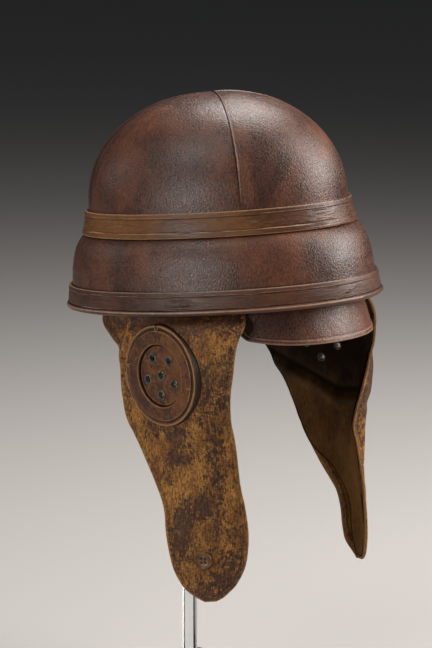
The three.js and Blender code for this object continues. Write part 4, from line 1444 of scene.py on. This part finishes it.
                # painted shade in the fold's valley and painted highlight on its ridge
                crease += shown * (0.35 * bump(away, -8.0, 3.0) - 0.95 * bump(away, 1.0, 3.6))
            shadings_and_rubs.append(crease)
            # on the far flap the marks add painted shade and painted light to the lining; on the near flap a
            # noisy coat
            shading_and_wear = sum(m.at(v.co) for m in marks) if self.has_fold else 0.35 + 0.35 * ripple(v.co, 45, 1.1, 2)
            patch.append(shading_and_wear)
            v.co += n * (rise - self.thick - self.gap)
        obj.data.update()
        Bench.note(obj, edge=[FAR] * len(shadings_and_rubs), crease=shadings_and_rubs, patch=patch)
        Bench.apply(obj, "SOLIDIFY", thickness=self.lining, offset=-1.0)
        return obj

    def upright(self, x: float, y: float, z: float, turn: float) -> Matrix:
        """The frame of what stands on the flap: its own +Z points away from the head."""
        s, t = self.side.value, math.radians(turn)
        out, up = Vector((s * math.cos(t), math.sin(t), 0)), Vector((0, 0, 1))
        return Matrix.Translation((s * x, y, z)) @ Matrix((up.cross(out), up, out)).transposed().to_4x4()

    def depth_at(self, place: Matrix, u: float, v: float) -> float:
        """The height of the flap's outer face under a point of a frame, in that frame."""
        start, along = place @ Vector((u, v, 30)), place.to_3x3() @ Vector((0, 0, -1))
        hit = self.sheet.ray_cast(start, along)[0]
        return 30 - (hit - start).length if hit else -4.0

    def seated(self, obj: bpy.types.Object, place: Matrix, top: float, low: float, sink: float) -> None:
        """Stretches a piece's foot down onto the flap.

        Args:
            obj: the piece, in its frame.
            place: the frame.
            top: the height above which it keeps its shape.
            low: the height of its foot.
            sink: how far its foot goes into the leather.
        """
        for v in obj.data.vertices:
            if v.co.z < top:
                foot = self.depth_at(place, v.co.x, v.co.y) - sink
                v.co.z = foot + (top - foot) * max(0.0, (v.co.z - low) / (top - low))
        obj.data.update()

    def spots(self) -> list[tuple[float, float]]:
        """Where the eyelets stand on the disc."""
        made = [(0.0, 0.0)]
        for k in range(5):
            t = math.radians(-90 + self.disc.pentagon_turn + 72 * k)
            made.append((self.eyelet_circle * math.cos(t), self.eyelet_circle * math.sin(t)))
        return made

    def build(self) -> None:
        """Models and dresses the flap and everything on it."""
        place = self.upright(self.disc.x, self.disc.y, self.disc.z, self.disc.turn)
        flap = self.outer_leather()
        Bench.drilled(flap, self.spots(), self.eyelet_hole, place)
        Bench.apply(flap, "BEVEL", width=0.45, segments=2, limit_method="ANGLE", angle_limit=math.radians(55))
        keep(Bench.settle(flap), Slot.FLAP, FLAP_LEATHER, f"ear_flap_{self.word}")
        lining = self.inner_leather()
        Bench.drilled(lining, self.spots(), self.eyelet_hole, place)
        keep(Bench.settle(lining), Slot.LINING, LINING_LEATHER, f"flap_lining_{self.word}")
        self.ring(place)
        self.ring_ties(place)
        self.plate(place)
        self.eyelets(place)
        self.stitches()
        if self.has_button:
            self.button()

    def ring(self, place: Matrix) -> None:
        """The leather ring over the ear: a flat face, a groove and a beaded outer edge."""
        o, i, h = self.ring_outer, self.ring_inner, self.ring_height
        face = o - 4.6
        profile = [
            (i + 0.1, self.foot), (i + 0.05, -2.0), (i, h - 2.6), (i + 0.2, h - 1.2), (i + 0.7, h - 0.4),
            (i + 1.5, h - 0.05),
        ]
        profile += [
            (i + 1.5 + (face - i - 2.4) * k / 9, h + 0.25 * math.sin(math.pi * k / 9)) for k in range(1, 10)
        ]
        profile += [
            (face - 0.3, h - 0.25), (face, h - 0.8), (face + 0.15, h - 1.5), (face + 0.8, h - 1.75),
            (face + 1.5, h - 1.6), (o - 2.6, h - 1.05), (o - 1.8, h - 0.7), (o - 0.9, h - 0.8),
            (o - 0.25, h - 1.4), (o, h - 2.1), (o, h - 2.6), (o + 0.05, h - 3.3), (o + 0.05, -1.5),
            (o + 0.15, self.foot),
        ]
        obj = Bench.spun(f"ear_ring_leather_{self.word}", profile, 144)
        mesh = obj.data
        shadings_and_rubs, patch = [], []
        for v, n in zip(mesh.vertices, [v.normal.copy() for v in mesh.vertices]):
            r, angle = math.hypot(v.co.x, v.co.y), math.atan2(v.co.y, v.co.x)
            top = smoothstep(h - 2.5, h - 1.5, v.co.z)
            offs = [(angle - math.radians(t) + math.pi) % (2 * math.pi) - math.pi for t in RING_JOINTS]
            joint = sum(bump(off, 0, 0.011) for off in offs)
            line = 0.8 * bump(r, o - 1.2, 0.75) + 0.65 * bump(r, face - 0.4, 0.45)
            line += 0.6 * bump(r, i + 0.7, 0.5)
            line -= 1.1 * bump(r, face + 0.7, 0.55)
            # painted shadow on the ring's outer wall and painted shade in its groove; its lips lighter as
            # rubbed wear and painted highlight; the joints darker
            shadings_and_rubs.append(top * (line - 0.7 * joint * (r > i + 3)) - 1.2 * (1 - top))
            patch.append(0.5 * bump(v.co.x * -self.side.value, -26, 16))
            v.co += n * top * (0.24 * ripple(v.co, 12, 3.3 + self.side.value, 3) - 0.3 * joint)
        Bench.note(obj, edge=[FAR] * len(shadings_and_rubs), crease=shadings_and_rubs, patch=patch)
        self.seated(obj, place, h - 3.2, self.foot, self.sink)
        obj.data.transform(place)
        keep(Bench.settle(obj), Slot.SHELL, DISC_LEATHER, f"ear_ring_{self.word}")

    def ring_ties(self, place: Matrix) -> None:
        """The short tied stitches across the ring's joints."""
        ties = []
        for angle, low, high, skew in RING_TIES:
            middle = Matrix.Translation(((low + high) / 2, 0, self.ring_height - 0.1))
            turn = Matrix.Rotation(math.radians(angle), 4, "Z") @ middle
            turn = turn @ Matrix.Rotation(math.radians(skew), 4, "Z")
            ties.append(Bench.strand(0.36, ((high - low) / 0.72, 1.0, 0.9), turn))
        made = Bench.joined(f"ring_ties_{self.word}", ties)
        made.data.transform(place)
        keep(Bench.settle(made), Slot.SHELL, LIGHT_THREAD)

    def plate(self, place: Matrix) -> None:
        """The recessed leather disc with its eyelets' holes."""
        r, h = self.plate_radius, self.plate_face
        profile = [
            (0.001, self.foot), (r, self.foot), (r, h - 0.8), (r - 0.4, h - 0.2), (r - 1.2, h),
            (r - 2.3, h - 0.25), (r - 4.5, h - 0.1), (18.0, h), (12.0, h + 0.05), (6.0, h + 0.1),
            (0.001, h + 0.1),
        ]
        obj = Bench.spun(f"ear_plate_leather_{self.word}", profile, 96)
        shadings_and_rubs = []
        for v in obj.data.vertices:
            away = math.hypot(v.co.x, v.co.y)
            border = 0.45 * bump(away, r - 1.3, 0.6) - 0.5 * bump(away, r - 2.5, 0.5)
            # painted shade where the plate meets the ring's inner wall and in the groove inside its rim
            shadings_and_rubs.append(border - 0.9 * bump(away, r + 0.1, 0.6))
        Bench.note(obj, edge=[FAR] * len(shadings_and_rubs), crease=shadings_and_rubs)
        self.seated(obj, place, h - 1.6, self.foot, self.sink)
        Bench.drilled(obj, self.spots(), self.eyelet_hole, Matrix.Identity(4))
        obj.data.transform(place)
        keep(Bench.settle(obj), Slot.SHELL, DISC_LEATHER, f"ear_plate_{self.word}")

    def eyelets(self, place: Matrix) -> None:
        """Six rolled metal eyelets, modelled once and copied."""
        top, foot = self.plate_face + 0.1, self.foot
        profile = [
            (2.85, top - 1.5), (2.85, top + 0.3), (3.05, top + 0.72), (3.4, top + 0.85), (3.85, top + 0.66),
            (4.2, top + 0.3), (4.3, top + 0.02), (3.9, top + 0.04), (3.2, top), (3.15, top - 0.6),
            (3.15, foot + 0.75), (3.7, foot + 0.65), (3.8, foot + 0.35), (3.4, foot + 0.05), (2.95, foot),
            (2.8, foot + 0.6),
        ]
        first = Bench.spun("eyelet_model", profile, 40)
        through = self.thick + self.gap + self.lining + 0.6
        for k, (u, v) in enumerate(self.spots()):
            made = Bench.copied(first, f"eyelet_rolled_{self.word}_{k + 1}", Matrix.Identity(4))
            reach = self.depth_at(place, u, v) - through - foot
            for vertex in made.data.vertices:
                if vertex.co.z < 0:
                    vertex.co.z += reach
            made.data.transform(place @ Matrix.Translation((u, v, 0)))
            keep(Bench.settle(made), Slot.METAL, METAL, f"eyelet_{self.word}_{k + 1}")
        bpy.data.objects.remove(first)

    def stitches(self) -> None:
        """The row of stitches just inside the flap's edge."""
        surface = self.surface()
        steps = 240
        border = [(0.0, k / steps) for k in range(26, steps + 1)] + [(k / 30, 1.0) for k in range(1, 31)]
        border += [(1.0, 1 - k / steps) for k in range(1, 215)]
        path: list[Vector] = []
        for u, v in border:
            p = surface(u, v)
            inwards = surface(0.5, min(0.93, v)) - p
            if inwards.length > 1e-6:
                path.append(p + inwards.normalized() * self.stitch_inset)
        model = Bench.strand(0.3, (3.6, 1.0, 0.8), Matrix.Identity(4), 6)
        made = []
        travelled, wanted = 0.0, 1.5
        for p, q in zip(path, path[1:]):
            step = (q - p).length
            while travelled + step >= wanted and step > 1e-6:
                spot, n, _, _ = self.sheet.find_nearest(p.lerp(q, (wanted - travelled) / step))
                across = n.cross(q - p).normalized()
                turn = Matrix((across.cross(n), across, n)).transposed().to_4x4()
                made.append(Bench.copied(model, "stitch", Matrix.Translation(spot + n * 0.02) @ turn))
                wanted += self.stitch_step
            travelled += step
        bpy.data.objects.remove(model)
        keep(Bench.settle(Bench.joined(f"flap_stitches_{self.word}", made)), Slot.FLAP, THREAD)

    def button(self) -> None:
        """The four-hole button with its crossed thread."""
        place = self.upright(*self.button_place)
        profile = [(0.001, -0.3), (6.4, -0.3), (7.1, 0.5), (7.25, 1.5), (7.1, 2.6), (6.7, 3.35), (6.2, 3.6)]
        profile += [(5.7, 3.4), (5.3, 2.85), (4.6, 2.5), (3.0, 2.3), (0.001, 2.25)]
        obj = Bench.spun("flap_button_horn", profile, 64)
        Bench.drilled(obj, [(u * 1.55, v * 1.55) for u in (1, -1) for v in (1, -1)], 0.95, Matrix.Identity(4))
        obj.data.transform(place)
        keep(Bench.settle(obj), Slot.BUTTON, BUTTON_HORN, "flap_button")
        up = place @ Matrix.Translation((0, 0, 2.45))
        turns = [Matrix.Rotation(math.radians(t), 4, "Z") for t in (45, -45)]
        threads = [Bench.strand(0.45, (5.4, 1.0, 0.9), up @ turn) for turn in turns]
        keep(Bench.settle(Bench.joined("button_thread", threads)), Slot.BUTTON, THREAD)


# ------------------------------------------------------------------ stand


@dataclass
class Stand:
    """The plain clear stand: polished base and post, and the hidden pad."""

    base_bevel: float = 0.0012
    post_bevel: float = 0.0005

    def block(self, name: str, node: str, bevel: float) -> None:
        """A polished block with eased edges in the place of a solid."""
        low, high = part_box(node)
        Bench.clear()
        bpy.ops.mesh.primitive_cube_add(size=1, location=(low + high) / 2)
        obj = bpy.context.object
        obj.name = name
        bpy.ops.object.mode_set(mode="EDIT")
        bpy.ops.mesh.select_all(action="SELECT")
        bpy.ops.transform.resize(value=high - low)
        bpy.ops.object.mode_set(mode="OBJECT")
        Bench.apply(obj, "BEVEL", width=bevel, segments=3)
        keep(Bench.settle(obj, Matrix.Identity(4)), Slot.ACRYLIC, ACRYLIC, node)

    def build(self) -> None:
        """Models and dresses the stand."""
        self.block("clear_base", "stand_base", self.base_bevel)
        self.block("clear_post", "stand_post", self.post_bevel)
        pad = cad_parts["stand_pad"]
        pad.data.materials.clear()
        pad.data.materials.append(ACRYLIC.material())


# ------------------------------------------------------------------ studio


WARM = (1.0, 0.93, 0.885)


@dataclass(frozen=True)
class Lamp:
    """A square soft light: how far to the camera's right, above the rim and towards the camera, in metres."""

    name: str
    power: float
    size: float
    side: float
    height: float
    front: float
    tint: Color = (1.0, 1.0, 1.0)


@dataclass
class Studio:
    """Floor, light and camera."""

    azimuth: float = -50.0
    elevation: float = 11.5
    distance: float = 2.0
    target_right: float = -0.0096
    target_up: float = -0.0231
    frame_height: float = 537.84 * MM  # the view's height, at the distance of its target
    sensor: float = 36.0
    floor_side: float = 40.0
    floor_color: Color = (0.4, 0.4, 0.395)
    world: float = 0.04
    world_color: Color = (0.82, 0.84, 0.87)
    lamps: tuple[Lamp, ...] = (
        Lamp("right", 25, 0.75, 1.6, 0.6, 0.2, WARM),
        Lamp("right high", 15, 0.8, 1.1, 1.2, 0.1, WARM),
        Lamp("right behind", 11, 0.8, 1.4, 0.75, -0.45, WARM),
        Lamp("top behind", 25, 0.8, 0.1, 1.5, -0.7, WARM),
        Lamp("left front", 12.5, 0.6, -1.15, 0.25, 1.35, WARM),
        Lamp("left high", 8, 0.6, -0.75, 1.25, 0.65, WARM),
        Lamp("left behind", 1.8, 0.5, -1.5, 0.5, -0.3, WARM),
    )

    def axes(self) -> tuple[Vector, Vector, Vector]:
        """The camera's back, right and up directions."""
        a, e = math.radians(self.azimuth), math.radians(self.elevation)
        back = Vector((math.sin(a) * math.cos(e), -math.cos(a) * math.cos(e), math.sin(e)))
        right = Vector((math.cos(a), math.sin(a), 0))
        return back, right, back.cross(right)

    def camera(self) -> None:
        """The camera at the viewing angle."""
        back, right, up = self.axes()
        target = Vector((0, 0, RIM_HEIGHT * MM)) + right * self.target_right + up * self.target_up
        data = bpy.data.cameras.new("view")
        data.sensor_fit = "VERTICAL"
        data.sensor_height = self.sensor
        data.lens = self.sensor * self.distance / self.frame_height
        data.clip_end = 80
        cam = bpy.data.objects.new("view", data)
        bpy.context.scene.collection.objects.link(cam)
        turn = Matrix((right, up, back)).transposed().to_4x4()
        cam.matrix_world = Matrix.Translation(target + back * self.distance) @ turn
        bpy.context.scene.camera = cam

    def hang(self, lamp: Lamp) -> None:
        """Hangs a soft light and aims it at the helmet."""
        back, right, _ = self.axes()
        level = Vector((back.x, back.y, 0)).normalized()
        aim = Vector((0, 0, RIM_HEIGHT * MM))
        place = aim + right * lamp.side + Vector((0, 0, lamp.height)) + level * lamp.front
        data = bpy.data.lights.new(lamp.name, "AREA")
        data.energy, data.size, data.color = lamp.power, lamp.size, lamp.tint
        made = bpy.data.objects.new(lamp.name, data)
        bpy.context.scene.collection.objects.link(made)
        made.location = place
        made.rotation_euler = (aim - place).to_track_quat("-Z", "Y").to_euler()

    def build(self) -> None:
        """Sets up floor, world, lights and camera."""
        self.camera()
        Bench.clear()
        bpy.ops.mesh.primitive_plane_add(size=self.floor_side, location=(0, 0, 0))
        floor = bpy.context.object
        floor.name = "floor"
        made = bpy.data.materials.new("pale floor")
        made.use_nodes = True
        shader = made.node_tree.nodes["Principled BSDF"]
        shader.inputs["Base Color"].default_value = (*self.floor_color, 1)
        shader.inputs["Roughness"].default_value = 0.8
        floor.data.materials.append(made)
        world = bpy.data.worlds.new("studio")
        world.use_nodes = True
        sky = world.node_tree.nodes["Background"]
        sky.inputs[0].default_value = (*self.world_color, 1)
        sky.inputs[1].default_value = self.world
        bpy.context.scene.world = world
        bpy.context.scene.view_settings.view_transform = "Standard"
        for lamp in self.lamps:
            self.hang(lamp)


def main() -> None:
    """Builds every sub-assembly in order."""
    logging.basicConfig(level=logging.INFO, format="%(name)s: %(message)s")
    Studio().build()
    Shell().build()
    Peak().build()
    EarFlap(Side.RIGHT, RIGHT_ROWS, RIGHT_DISC, RIGHT_STAINS_AND_SHADOW, has_button=True).build()
    EarFlap(Side.LEFT, LEFT_ROWS, LEFT_DISC, LEFT_SHADING_AND_STAINS, has_fold=True).build()
    Stand().build()


if __name__ == "__main__":
    main()
